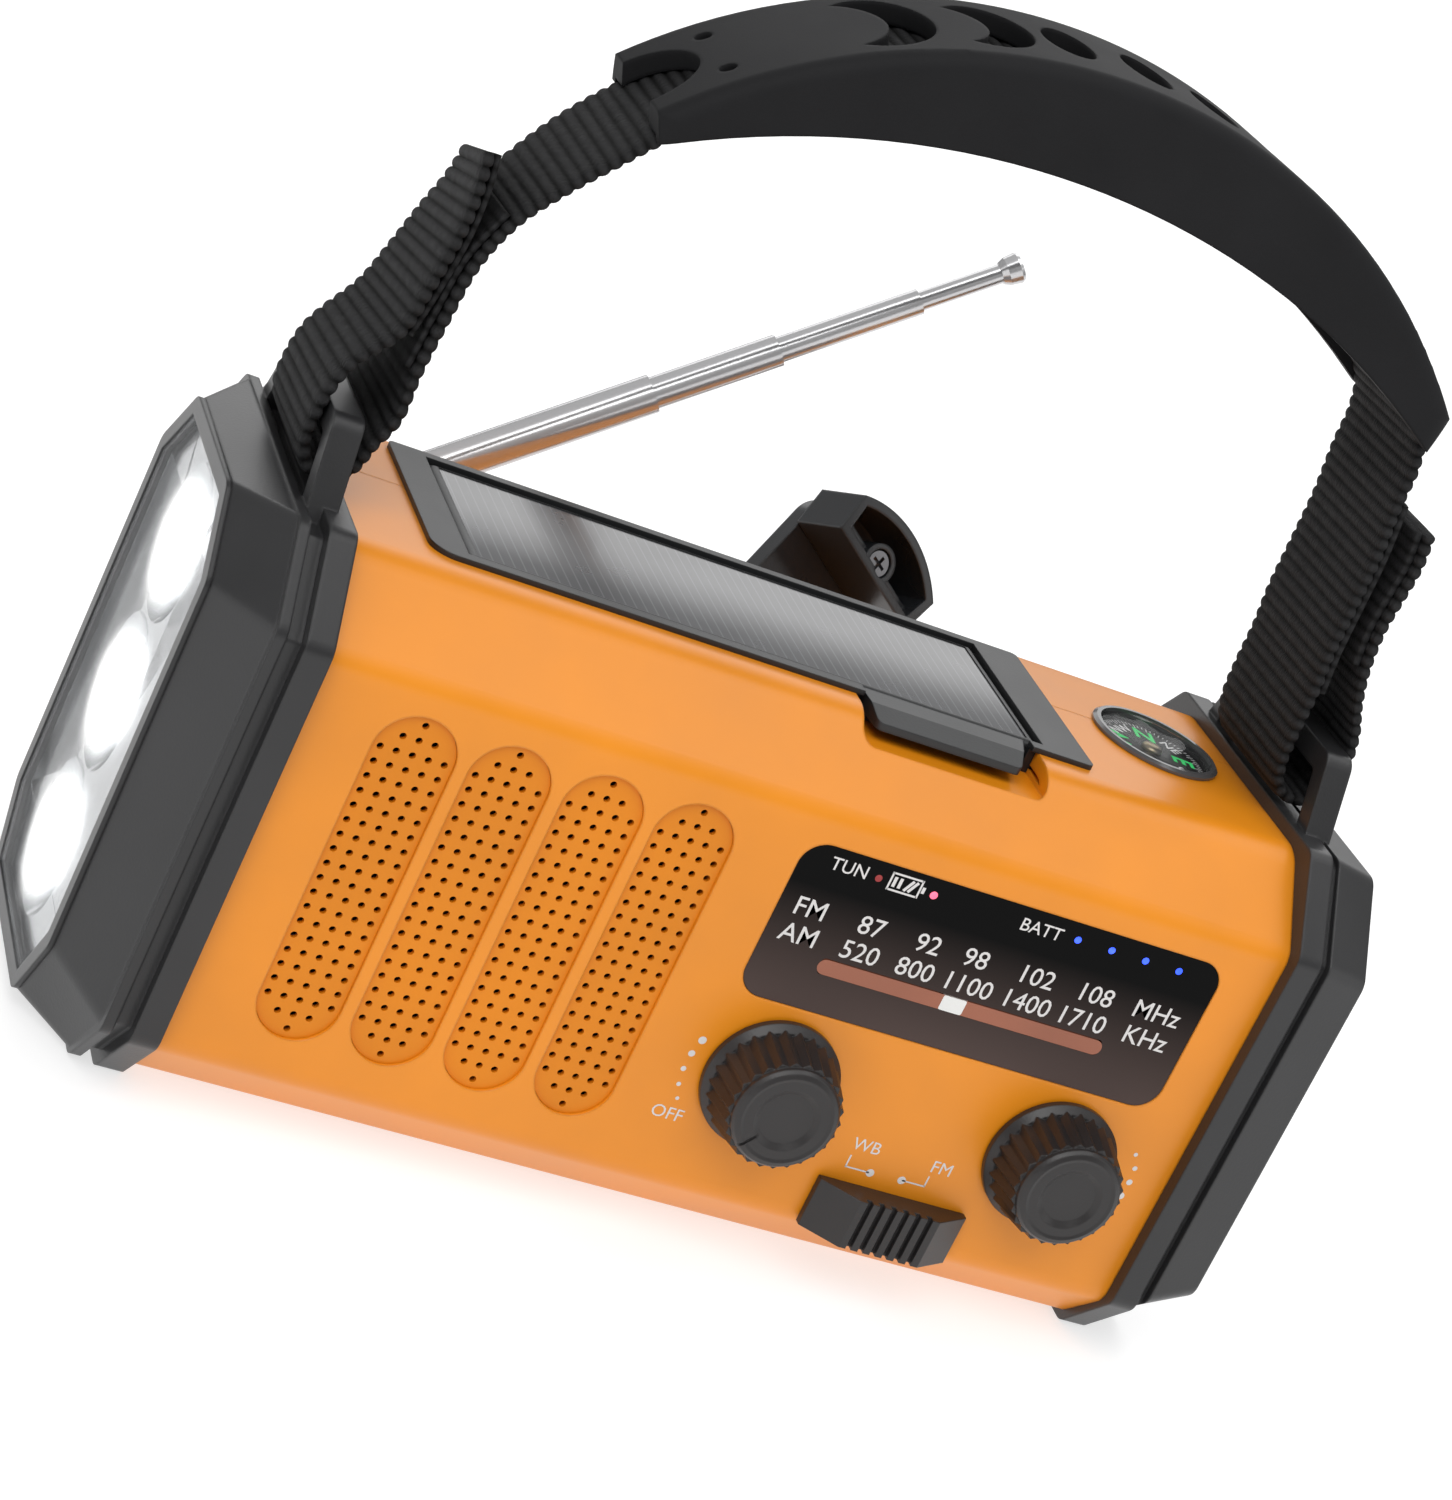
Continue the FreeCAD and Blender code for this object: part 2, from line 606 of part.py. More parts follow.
def dial_pegs():
    pegs = []
    for x, z in DIAL_PEGS:
        spool = rod(PEG_RADIUS - 0.05, vec(x, -31.6, z), vec(x, -20.6, z))
        flange = rod(PEG_RADIUS + 0.9, vec(x, -30.6, z), vec(x, -29.8, z))
        pegs.append(spool.fuse(flange).removeSplitter())
    return pegs


def knob(x, mark_angle=None):
    """Fluted knob with a foot flange, a rounded rim and a dished face; the mark is a groove to the rim."""
    def star(radius, depth, y):
        points = []
        for step in range(2 * KNOB_FLUTES):
            angle = math.pi * step / KNOB_FLUTES
            reach = radius if step % 2 == 0 else radius - depth
            points.append(vec(x + reach * math.sin(angle), y, KNOB_Z + reach * math.cos(angle)))
        return Part.makePolygon(points + [points[0]])

    face = KNOB_FACE_Y
    radius = KNOB_FACE_RADIUS
    ends = [star(KNOB_BASE_RADIUS, 0.8, -38.2), star(radius + 0.5, 0.6, face + 1.4)]
    fluted = Part.makeLoft(ends, True, True)
    crown = turned([(0, face + 1.4), (radius - 0.1, face + 1.4), (radius - 0.2, face + 0.8),
                    (radius - 0.6, face + 0.3), (radius - 1.3, face), (radius - 1.8, face + 0.15),
                    (0, face + 0.15)], x, KNOB_Z)
    flange = turned([(0, -36.4), (KNOB_BASE_RADIUS + 0.6, -36.4), (KNOB_BASE_RADIUS + 0.6, -37.4),
                     (KNOB_BASE_RADIUS - 0.4, -38.4), (0, -38.4)], x, KNOB_Z)
    dish = turned([(0, face - 1.0), (KNOB_DISH_RADIUS, face - 1.0), (KNOB_DISH_RADIUS, face + 0.15),
                   (KNOB_DISH_RADIUS - 0.9, face + 0.7), (0, face + 0.7)], x, KNOB_Z)
    cuts = [dish, rod(KNOB_SHAFT_RADIUS, vec(x, -35, KNOB_Z), vec(x, -45, KNOB_Z))]
    if mark_angle is not None:
        groove = box(KNOB_DISH_RADIUS - 0.5, radius + 1.0, face - 1.0, face + 0.5, -0.25, 0.25)
        groove.rotate(vec(0, 0, 0), vec(0, -1, 0), mark_angle)
        groove.translate(vec(x, 0, KNOB_Z))
        cuts.append(groove)
    return union([fluted, crown, flange]).cut(cuts)


def volume_shaft():
    return rod(KNOB_SHAFT_RADIUS, vec(VOLUME_X, -45, KNOB_Z), vec(VOLUME_X, -27, KNOB_Z))


def volume_pot():
    bush = rod(4.0, vec(VOLUME_X, -36.1, KNOB_Z), vec(VOLUME_X, -33.4, KNOB_Z))
    can = rod(8.2, vec(VOLUME_X, -33.4, KNOB_Z), vec(VOLUME_X, -24.6, KNOB_Z))
    base = box(VOLUME_X - 7, VOLUME_X + 7, -24.6, -20.6, KNOB_Z - 7, KNOB_Z + 7)
    bore = rod(KNOB_SHAFT_RADIUS + RUNNING, vec(VOLUME_X, -37, KNOB_Z), vec(VOLUME_X, -26.8, KNOB_Z))
    return union([bush, can, base]).cut(bore)


def tuning_shaft():
    shaft = rod(KNOB_SHAFT_RADIUS, vec(TUNING_X, -45, KNOB_Z), vec(TUNING_X, -26, KNOB_Z))
    drum = rod(DRUM_RADIUS - 0.3, vec(TUNING_X, -32.8, KNOB_Z), vec(TUNING_X, -29.4, KNOB_Z))
    flanges = []
    for y in (-32.8, -30.1):
        flanges.append(rod(DRUM_RADIUS + 1.2, vec(TUNING_X, y, KNOB_Z), vec(TUNING_X, y + 0.7, KNOB_Z)))
    return union([shaft, drum] + flanges)


def tuning_capacitor():
    body = box(TUNING_X - 10, TUNING_X + 10, -28.6, -20.6, KNOB_Z - 10, KNOB_Z + 10)
    bore = rod(KNOB_SHAFT_RADIUS + RUNNING, vec(TUNING_X, -30, KNOB_Z), vec(TUNING_X, -25.8, KNOB_Z))
    return body.cut(bore)


def band_switch_slider():
    """Finger piece with a ribbed middle and wedge ends, and the stem behind it."""
    half = 12.2
    profile = [(SWITCH_X - half, -36.15), (SWITCH_X - half, -37.4), (SWITCH_X - 6.6, -41.0),
               (SWITCH_X + 6.6, -41.0), (SWITCH_X + half, -37.4), (SWITCH_X + half, -36.15)]
    points = [vec(x, y, SWITCH_Z - 4.0) for x, y in profile]
    body = Part.Face(Part.makePolygon(points + [points[0]])).extrude(vec(0, 0, 8.0))
    grooves = [box(x - 0.45, x + 0.45, -42, -40.0, SWITCH_Z - 5, SWITCH_Z + 5)
               for x in [SWITCH_X + (step - 2.5) * 2.0 for step in range(6)]]
    stem = box(SWITCH_X - 3.4, SWITCH_X + 3.4, -37, -29, SWITCH_Z - 1.2, SWITCH_Z + 1.2)
    return body.cut(grooves).fuse(stem).removeSplitter()


def band_switch_body():
    block = box(SWITCH_X - 11, SWITCH_X + 11, -33.5, -20.6, SWITCH_Z - 2.6, SWITCH_Z + 4.0)
    return block.cut(box(SWITCH_X - 8.2, SWITCH_X + 8.2, -34, -28.4, SWITCH_Z - 1.7, SWITCH_Z + 1.7))


def main_board():
    """Board with the two pegs that guide the dial cord."""
    return union([box(-8, 66, -20.6, -19.0, 9, 73)] + dial_pegs())


# ---------------------------------------------------------------- inside

def speaker():
    """Driver: steel basket with its magnet, and the cone."""
    x = (SLOT_CENTRES[0] + SLOT_CENTRES[3]) / 2
    basket = turned([(21.5, -33.5), (25.0, -33.5), (25.0, -31.5), (13.5, -24.4), (13.5, -19.0),
                     (0, -19.0), (0, -22.5), (9.0, -24.6), (21.5, -31.9)], x, SLOT_Z)
    cone = turned([(0, -28.6), (4.0, -28.0), (6.5, -26.6), (19.0, -32.6), (21.3, -33.0),
                   (21.3, -32.4), (19.0, -32.0), (6.5, -25.8), (4.0, -27.3), (0, -27.9)], x, SLOT_Z)
    return grouped([basket, cone])


CELL_RADIUS = 9.2
CELL_LENGTH = 65.0
CELL_START_X = -66.6
CELL_PLACES = [(-8.4, 21.4), (-8.4, 40.2), (-8.4, 59.0), (10.4, 21.4), (10.4, 40.2)]


def battery_cells():
    cells = []
    for y, z in CELL_PLACES:
        start = vec(CELL_START_X, y, z)
        can = rod(CELL_RADIUS, start, start + vec(CELL_LENGTH - 1, 0, 0))
        tip = rod(3.2, start + vec(CELL_LENGTH - 1, 0, 0), start + vec(CELL_LENGTH, 0, 0))
        cells.append(can.fuse(tip).removeSplitter())
    return grouped(cells)


def battery_tray():
    ends = [box(CELL_START_X - 1.4, CELL_START_X, -17.8, 19.8, 10.2, 68.6),
            box(CELL_START_X + CELL_LENGTH, CELL_START_X + CELL_LENGTH + 1.4, -17.8, 19.8, 10.2, 68.6)]
    floor = box(CELL_START_X - 1.4, CELL_START_X + CELL_LENGTH + 1.4, -17.8, 19.8, 10.2, 12.0)
    return union(ends + [floor])


def ferrite_rod():
    core = rod(4.0, vec(4, 13, 66), vec(62, 13, 66))
    coil = pipe(5.4, 4.0, vec(14, 13, 66), vec(34, 13, 66))
    return grouped([core, coil])


def gearbox_frame():
    base = box(-29, 39, 20.4, 22.4, 6, 69)
    pinion_x, pinion_z = pinion_centre()
    return base.cut([rod(4.0 + RUNNING, vec(CRANK_X, 15, CRANK_Z), vec(CRANK_X, 30, CRANK_Z)),
                     rod(1.5 + RUNNING, vec(pinion_x, 15, pinion_z), vec(pinion_x, 30, pinion_z))])


def generator():
    x, z = pinion_centre()
    can = rod(12.0, vec(x, 6.0, z), vec(x, 20.4, z))
    return can.cut(rod(1.5 + RUNNING, vec(x, 17.8, z), vec(x, 22, z)))


# ---------------------------------------------------------------- gears

def pinion_centre():
    distance = GEAR_MODULE * (GEAR_TEETH + PINION_TEETH) / 2
    angle = math.radians(PINION_ANGLE)
    return CRANK_X + distance * math.cos(angle), CRANK_Z + distance * math.sin(angle)


def involute(base_radius, radius):
    roll = math.sqrt((radius / base_radius) ** 2 - 1)
    return roll - math.atan(roll)


def spur_gear(teeth, centre_x, centre_z, first_tooth_angle):
    """Involute spur gear, 20 degree pressure angle; first_tooth_angle is in the XZ plane from +X to +Z."""
    pitch = GEAR_MODULE * teeth / 2
    base = pitch * math.cos(math.radians(20))
    tip = pitch + GEAR_MODULE * 0.95
    root = pitch - GEAR_MODULE * 1.2
    half_tooth = (math.pi * GEAR_MODULE / 2 - BACKLASH) / 2 / pitch
    start = max(base, root)
    samples = [start + (tip - start) * step / 5 for step in range(6)]
    points = []
    for tooth in range(teeth):
        centre = first_tooth_angle + 2 * math.pi * tooth / teeth
        rising = []
        if root < base - 0.01:
            rising.append((root, -half_tooth - involute(base, pitch)))
        for radius in samples:
            rising.append((radius, -half_tooth - involute(base, pitch) + involute(base, radius)))
        falling = [(radius, -angle) for radius, angle in reversed(rising)]
        for radius, angle in rising + falling:
            turn = centre + angle
            x = centre_x + radius * math.cos(turn)
            z = centre_z + radius * math.sin(turn)
            points.append(vec(x, GEAR_Y[0], z))
    face = Part.Face(Part.makePolygon(points + [points[0]]))
    return face.extrude(vec(0, GEAR_Y[1] - GEAR_Y[0], 0))


def crank_gear():
    gear = spur_gear(GEAR_TEETH, CRANK_X, CRANK_Z, math.radians(PINION_ANGLE))
    holes = [rod(4.0, vec(CRANK_X, 20, CRANK_Z), vec(CRANK_X, 30, CRANK_Z))]
    for step in range(6):
        angle = math.radians(60 * step)
        x = CRANK_X + 14.5 * math.cos(angle)
        z = CRANK_Z + 14.5 * math.sin(angle)
        holes.append(rod(4.2, vec(x, 20, z), vec(x, 30, z)))
    return gear.cut(holes)


def generator_pinion():
    x, z = pinion_centre()
    gap_angle = math.radians(PINION_ANGLE + 180) + math.pi / PINION_TEETH
    shaft = rod(1.5, vec(x, 18.0, z), vec(x, 29.2, z))
    return spur_gear(PINION_TEETH, x, z, gap_angle).fuse(shaft).removeSplitter()


# ---------------------------------------------------------------- crank
# Drawn stowed and pointing up: pivot at the origin, arm along +Z, outwards +Y. Then it is folded out
# about the pivot, turned about the hub's axis and moved to the hub.

def place_hub(shape):
    shape = shape.copy()
    shape.rotate(vec(0, 0, 0), vec(0, 1, 0), CRANK_SPIN)
    shape.translate(vec(CRANK_X, CRANK_PIVOT_Y, CRANK_Z))
    return shape


def place_arm(shape):
    shape = shape.copy()
    shape.rotate(vec(0, 0, 0), vec(-1, 0, 0), CRANK_FOLD)
    return place_hub(shape)


def crank_hub():
    floor = 31.6 - CRANK_PIVOT_Y
    disc = rod(13.6, vec(0, floor, 0), vec(0, floor + 1.8, 0))
    shaft = rod(4.0, vec(0, 20.0 - CRANK_PIVOT_Y, 0), vec(0, floor, 0))
    ears = []
    for x0 in (-8.6, 5.6):
        ear = box(x0, x0 + 3.0, floor + 1.0, 0, -3.2, 3.2)
        ears.append(ear.fuse(rod(3.2, vec(x0, 0, 0), vec(x0 + 3.0, 0, 0))))
    pin_hole = rod(1.5, vec(-10, 0, 0), vec(10, 0, 0))
    return place_hub(union([disc, shaft] + ears).cut(pin_hole))


def crank_hinge_pin():
    return place_hub(rod(1.5, vec(-8.8, 0, 0), vec(8.8, 0, 0)))


def crank_arm():
    outline = [(-6.5, 6.2, 1.5), (6.5, 6.2, 1.5), (ARM_HALF_WIDTH, 24.0, 6.0),
               (ARM_HALF_WIDTH, ARM_LENGTH + 5.6, 6.0), (-ARM_HALF_WIDTH, ARM_LENGTH + 5.6, 6.0),
               (-ARM_HALF_WIDTH, 24.0, 6.0)]
    bar = plate(outline, across_y(-ARM_THICKNESS), vec(0, ARM_THICKNESS, 0))
    neck = box(-5.3, 5.3, -2.6, 0, 0, 8.0)
    knuckle = rod(2.9, vec(-5.3, 0, 0), vec(5.3, 0, 0))
    arm = union([bar, neck, knuckle])
    cuts = [rod(1.5 + RUNNING, vec(-10, 0, 0), vec(10, 0, 0)),
            rod(1.25 + RUNNING, vec(0, -5, ARM_LENGTH), vec(0, 2, ARM_LENGTH))]
    return place_arm(arm.cut(cuts))


def grip_outline(inset_by):
    """Flat side towards the hub, bowed side outwards."""
    half = GRIP_HALF_LENGTH - inset_by
    low = ARM_LENGTH - 3.4 + inset_by
    shoulder = ARM_LENGTH + 3.6 - inset_by * 0.6
    crown = ARM_LENGTH + 7.2 - inset_by
    return half, low, shoulder, crown


def grip_face(inset_by, y):
    half, low, shoulder, crown = grip_outline(inset_by)
    corners = [vec(-half, y, shoulder), vec(-half + 0.6, y, low), vec(half - 0.6, y, low),
               vec(half, y, shoulder)]
    edges = [Part.LineSegment(corners[index], corners[index + 1]).toShape() for index in range(3)]
    edges.append(Part.Arc(corners[3], vec(0, y, crown), corners[0]).toShape())
    return Part.Face(Part.Wire(edges))


def crank_grip():
    back = -ARM_THICKNESS - 0.2
    front = -ARM_THICKNESS - GRIP_DEPTH
    block = grip_face(0, front).extrude(vec(0, back - front, 0))
    hollow = grip_face(GRIP_WALL, front - 1).extrude(vec(0, back - front - 0.6, 0))
    centre = ARM_LENGTH
    boss = rod(3.3, vec(0, front + 1.6, centre), vec(0, back, centre))
    half = GRIP_HALF_LENGTH - 0.8
    ribs = box(-half, half, front + 3.0, back, centre - 0.4, centre + 0.4)
    shell = union([block.cut(hollow), boss, ribs])
    bore = rod(1.25 + RUNNING, vec(0, front - 1, centre), vec(0, 0, centre))
    seat = rod(2.4, vec(0, front - 1, centre), vec(0, front + 3.6, centre))
    return place_arm(shell.cut([bore, seat]))


def crank_grip_screw():
    front = -ARM_THICKNESS - GRIP_DEPTH
    centre = ARM_LENGTH
    head = rod(2.1, vec(0, front + 1.9, centre), vec(0, front + 3.5, centre))
    shank = rod(1.25, vec(0, front + 3.5, centre), vec(0, -0.4, centre))
    slots = [box(-1.4, 1.4, front + 1.8, front + 2.9, centre - 0.3, centre + 0.3),
             box(-0.3, 0.3, front + 1.8, front + 2.9, centre - 1.4, centre + 1.4)]
    return place_arm(head.fuse(shank).cut(slots))


# ---------------------------------------------------------------- antenna
# Drawn upright: tilt pivot at the origin, tubes along +Z, outwards +Y; then swung over and moved.

def place_antenna(shape):
    shape = shape.copy()
    shape.rotate(vec(0, 0, 0), vec(0, 1, 0), ANTENNA_SWING)
    shape.translate(vec(*ANTENNA_PIVOT))
    return shape


def antenna_base():
    foot = BODY_DEPTH + 0.15 - ANTENNA_PIVOT[1]
    disc = rod(6.0, vec(0, foot, 0), vec(0, foot + 1.8, 0))
    stud = rod(2.0, vec(0, foot - 9.0, 0), vec(0, foot, 0))
    ears = []
    for x0 in (-3.4, 1.6):
        ear = box(x0, x0 + 1.8, foot + 1.0, 0, -2.7, 2.7)
        ears.append(ear.fuse(rod(2.7, vec(x0, 0, 0), vec(x0 + 1.8, 0, 0))))
    pin = rod(1.0, vec(-3.4, 0, 0), vec(3.4, 0, 0))
    return place_antenna(union([disc, stud] + ears + [pin]))


def tube(index):
    outer = TUBE_RADII[index]
    start = TUBE_STARTS[index]
    end = TUBE_JOINTS[index]
    body = pipe(outer, outer - TUBE_WALL, vec(0, 0, start), vec(0, 0, end))
    next_radius = TUBE_RADII[index + 1]
    mouth = pipe(outer, next_radius + RUNNING, vec(0, 0, end - 1.6), vec(0, 0, end))
    pieces = [body, mouth]
    if index > 0:
        guide = TUBE_RADII[index - 1] - TUBE_WALL - RUNNING
        pieces.append(pipe(guide, outer - TUBE_WALL, vec(0, 0, start), vec(0, 0, start + 2.0)))
    return union(pieces)


def antenna_tube_1():
    plug = rod(TUBE_RADII[0] - 0.1, vec(0, 0, TUBE_STARTS[0]), vec(0, 0, TUBE_STARTS[0] + 1.6))
    tongue = box(-1.5, 1.5, -2.5, 2.5, 0, TUBE_STARTS[0] + 0.8)
    eye = rod(2.5, vec(-1.5, 0, 0), vec(1.5, 0, 0))
    shape = union([tube(0), plug, tongue, eye])
    return place_antenna(shape.cut(rod(1.0 + RUNNING, vec(-5, 0, 0), vec(5, 0, 0))))


def antenna_tip_rod():
    end = TUBE_JOINTS[3]
    stem = rod(TUBE_RADII[3], vec(0, 0, TUBE_STARTS[3]), vec(0, 0, end - 3.0))
    button = turned_z([(0, end - 3.4), (1.7, end - 3.4), (2.2, end - 2.4), (2.4, end - 0.5),
                       (2.1, end), (0, end)], 0, 0)
    return place_antenna(union([stem, button]))


# ---------------------------------------------------------------- solar lid

def tray_outline():
    return [(TRAY_X[0], TRAY_Y[0], 4.0), (TRAY_X[1], TRAY_Y[0], 1.0),
            (TRAY_X[1], TRAY_Y[1], 1.0), (TRAY_X[0], TRAY_Y[1], 1.0)]


def lid_box(front, back, sides, z0, z1):
    """Box set in from the lid's front, back and side edges; negative values stand outside the lid."""
    x0, x1 = LID_X
    y0, y1 = LID_Y
    return box(x0 + sides, x1 - sides, y0 + front, y1 - back, z0, z1)


def lid_pin(radius, beyond):
    """Rod on the lid's hinge line that runs past each side of the lid."""
    x0, x1 = LID_X
    start = vec(x0 - beyond, LID_HINGE_Y, LID_HINGE_Z)
    end = vec(x1 + beyond, LID_HINGE_Y, LID_HINGE_Z)
    return rod(radius, start, end)


def solar_tray():
    flange = plate(tray_outline(), across_z(TOP_Z), vec(0, 0, 0.8))
    body = box(-60.8, 40.8, -17.3, 19.2, TOP_Z - 6.4, TOP_Z + 0.4)
    room = lid_box(-0.25, -0.3, -0.25, LID_HINGE_Z - 1.9, TOP_Z + 3)
    lamp_room = lid_box(1.6, 3.0, 2, TOP_Z - 4.8, TOP_Z)
    tab_gap = box(TAB_X[0] - 0.4, TAB_X[1] + 0.4, -26, LID_Y[0] + 1, TOP_Z - 2.6, TOP_Z + 3)
    hinge_bore = lid_pin(0.8 + RUNNING, 2.4)
    return union([flange, body]).cut([room, lamp_room, tab_gap, hinge_bore])


def lid_frame():
    slab = lid_box(0, 0, 0, LID_TOP_Z - LID_THICKNESS, LID_TOP_Z)
    upright = [edge for edge in slab.Edges if edge.BoundBox.ZLength > LID_THICKNESS - 0.01]
    slab = slab.makeFillet(0.6, upright)
    rear = [edge for edge in slab.Edges if edge.BoundBox.YMin > LID_Y[1] - 0.01]
    barrel = [edge for edge in rear if edge.BoundBox.XLength > 50]
    slab = slab.makeFillet(1.3, barrel)
    tab = plate([(TAB_X[0], -15.0, 0.4), (TAB_X[1], -15.0, 0.4), (TAB_X[1] - 3.0, -24.6, 1.2),
                 (TAB_X[0] + 0.6, -24.6, 1.2)],
                across_z(80.6), vec(0, 0, 2.2))
    slope = [vec(0, -18.4, 83.2), vec(0, -25.4, 81.6), vec(0, -25.4, 84.2), vec(0, -18.4, 84.2)]
    slope_cut = Part.Face(Part.makePolygon(slope + [slope[0]])).extrude(vec(60, 0, 0))
    tab = tab.cut(slope_cut)
    cell_seat = lid_box(1.4, 1.2, 1.6, LID_TOP_Z - 0.9, LID_TOP_Z + 1)
    lamp_seat = lid_box(7, 12, 6, LID_TOP_Z - 4, LID_TOP_Z - 1.9)
    return union([slab, tab, lid_pin(0.8, 2.2)]).cut([cell_seat, lamp_seat])


def solar_cell():
    return lid_box(1.45, 1.25, 1.65, LID_TOP_Z - 0.9, LID_TOP_Z - 0.15)


def reading_lamp():
    """Strip of small LEDs under a clear cover, on the underside of the lid."""
    return lid_box(7.1, 12.1, 6.1, LID_TOP_Z - 2.9, LID_TOP_Z - 1.9)


# ---------------------------------------------------------------- compass

def compass_case():
    x = COMPASS_X
    y = COMPASS_Y
    cup = turned_z([(0, 75.6), (9.9, 75.6), (9.9, 82.7), (10.5, 82.7), (10.5, 83.1), (10.0, 83.5),
                    (9.35, 83.5), (9.35, 76.8), (0, 76.8)], x, y)
    point = turned_z([(0, 76.4), (1.2, 76.4), (0.35, 80.4), (0, 80.4)], x, y)
    return cup.fuse(point).removeSplitter()


def compass_card():
    x = COMPASS_X
    y = COMPASS_Y
    card = turned_z([(0.0, 80.5), (1.4, 80.5), (1.4, 81.2), (9.0, 81.2), (9.0, 81.7), (1.4, 81.7),
                     (1.0, 82.2), (0, 82.4)], x, y)
    magnet = box(x - 6.5, x + 6.5, y - 0.9, y + 0.9, 80.6, 81.3)
    ring_gap = rod(1.45, vec(x, y, 80), vec(x, y, 81.1))
    return card.fuse(magnet.cut(ring_gap)).removeSplitter()


def compass_dome():
    x = COMPASS_X
    y = COMPASS_Y
    return turned_z([(0, 84.6), (4.5, 84.3), (7.4, 83.7), (9.3, 82.9), (9.3, 82.3), (8.8, 82.3),
                     (8.8, 82.5), (7.2, 83.1), (4.3, 83.6), (0, 83.9)], x, y)


# ---------------------------------------------------------------- strap

def web_strip(path, thickness, half_width):
    """Flat strip on edge along straight runs in the XZ plane, joined with mitred corners."""
    left = []
    right = []
    for index, (x, z) in enumerate(path):
        before = path[max(index - 1, 0)]
        after = path[min(index + 1, len(path) - 1)]
        incoming = FreeCAD.Vector(x - before[0], z - before[1], 0)
        outgoing = FreeCAD.Vector(after[0] - x, after[1] - z, 0)
        if incoming.Length < 1e-9:
            incoming = outgoing
        if outgoing.Length < 1e-9:
            outgoing = incoming
        incoming.normalize()
        outgoing.normalize()
        along = (incoming + outgoing).normalize()
        normal = FreeCAD.Vector(-along.y, along.x, 0)
        reach = thickness / 2 / max(along.dot(incoming), 0.5)
        left.append((x + normal.x * reach, z + normal.y * reach))
        right.append((x - normal.x * reach, z - normal.y * reach))
    outline = [vec(x, -half_width, z) for x, z in left + right[::-1]]
    return Part.Face(Part.makePolygon(outline + [outline[0]])).extrude(vec(0, 2 * half_width, 0))


def arc_angle(x):
    return math.asin((x - GRIP_ARC_CENTRE[0]) / GRIP_ARC_RADIUS)


def arc_band(outer, inner, x0, x1, y0, y1):
    """Part of a ring about the grip's arc centre, between two places along the strap."""
    centre_x, centre_z = GRIP_ARC_CENTRE

    def at(radius, angle):
        return vec(centre_x + radius * math.sin(angle), y0, centre_z + radius * math.cos(angle))

    first = arc_angle(x0)
    last = arc_angle(x1)
    middle = (first + last) / 2
    edges = [Part.Arc(at(outer, first), at(outer, middle), at(outer, last)).toShape(),
             Part.LineSegment(at(outer, last), at(inner, last)).toShape(),
             Part.Arc(at(inner, last), at(inner, middle), at(inner, first)).toShape(),
             Part.LineSegment(at(inner, first), at(outer, first)).toShape()]
    return Part.Face(Part.Wire(edges)).extrude(vec(0, y1 - y0, 0))


def on_grip(shape, x):
    """Shape drawn about the origin with Z up, stood on the grip's outer surface at x."""
    angle = arc_angle(x)
    shape.rotate(vec(0, 0, 0), vec(0, 1, 0), math.degrees(angle))
    shape.translate(vec(GRIP_ARC_CENTRE[0] + GRIP_ARC_RADIUS * math.sin(angle), 0,
                        GRIP_ARC_CENTRE[1] + GRIP_ARC_RADIUS * math.cos(angle)))
    return shape


def ellipse_hole(length, width):
    ellipse = Part.Ellipse(vec(0, 0, -7), max(length, width) / 2, min(length, width) / 2)
    face = Part.Face(Part.Wire([ellipse.toShape()]))
    if width > length:
        face.rotate(vec(0, 0, 0), vec(0, 0, 1), 90)
    return face.extrude(vec(0, 0, 12))


def crescent_hole(length, width):
    """Ellipse less a second one set back towards -X, which leaves a crescent with its horns that way."""
    outer = ellipse_hole(length, width)
    inner = ellipse_hole(length * 1.05, width * 0.92)
    inner.translate(vec(-GRIP_CRESCENT_STEP, 0, 0))
    return outer.cut(inner)


def grip_profile():
    """Side view of the grip: outer arc, and a flatter lower arc that makes its middle the deepest."""
    def on_arc(centre, radius, x):
        return vec(x, -GRIP_BAND_WIDTH / 2, centre[1] + math.sqrt(radius ** 2 - (x - centre[0]) ** 2))

    x0, x1 = GRIP_ENDS_X
    middle = (x0 + x1) / 2
    upper = [on_arc(GRIP_ARC_CENTRE, GRIP_ARC_RADIUS, x) for x in (x0, middle, x1)]
    lower = [on_arc(GRIP_LOWER_CENTRE, GRIP_LOWER_RADIUS, x) for x in (x1 - 1.5, middle, x0 + 1.5)]
    edges = [Part.Arc(*upper).toShape(), Part.LineSegment(upper[2], lower[0]).toShape(),
             Part.Arc(*lower).toShape(), Part.LineSegment(lower[2], upper[0]).toShape()]
    return Part.Face(Part.Wire(edges)).extrude(vec(0, GRIP_BAND_WIDTH, 0))


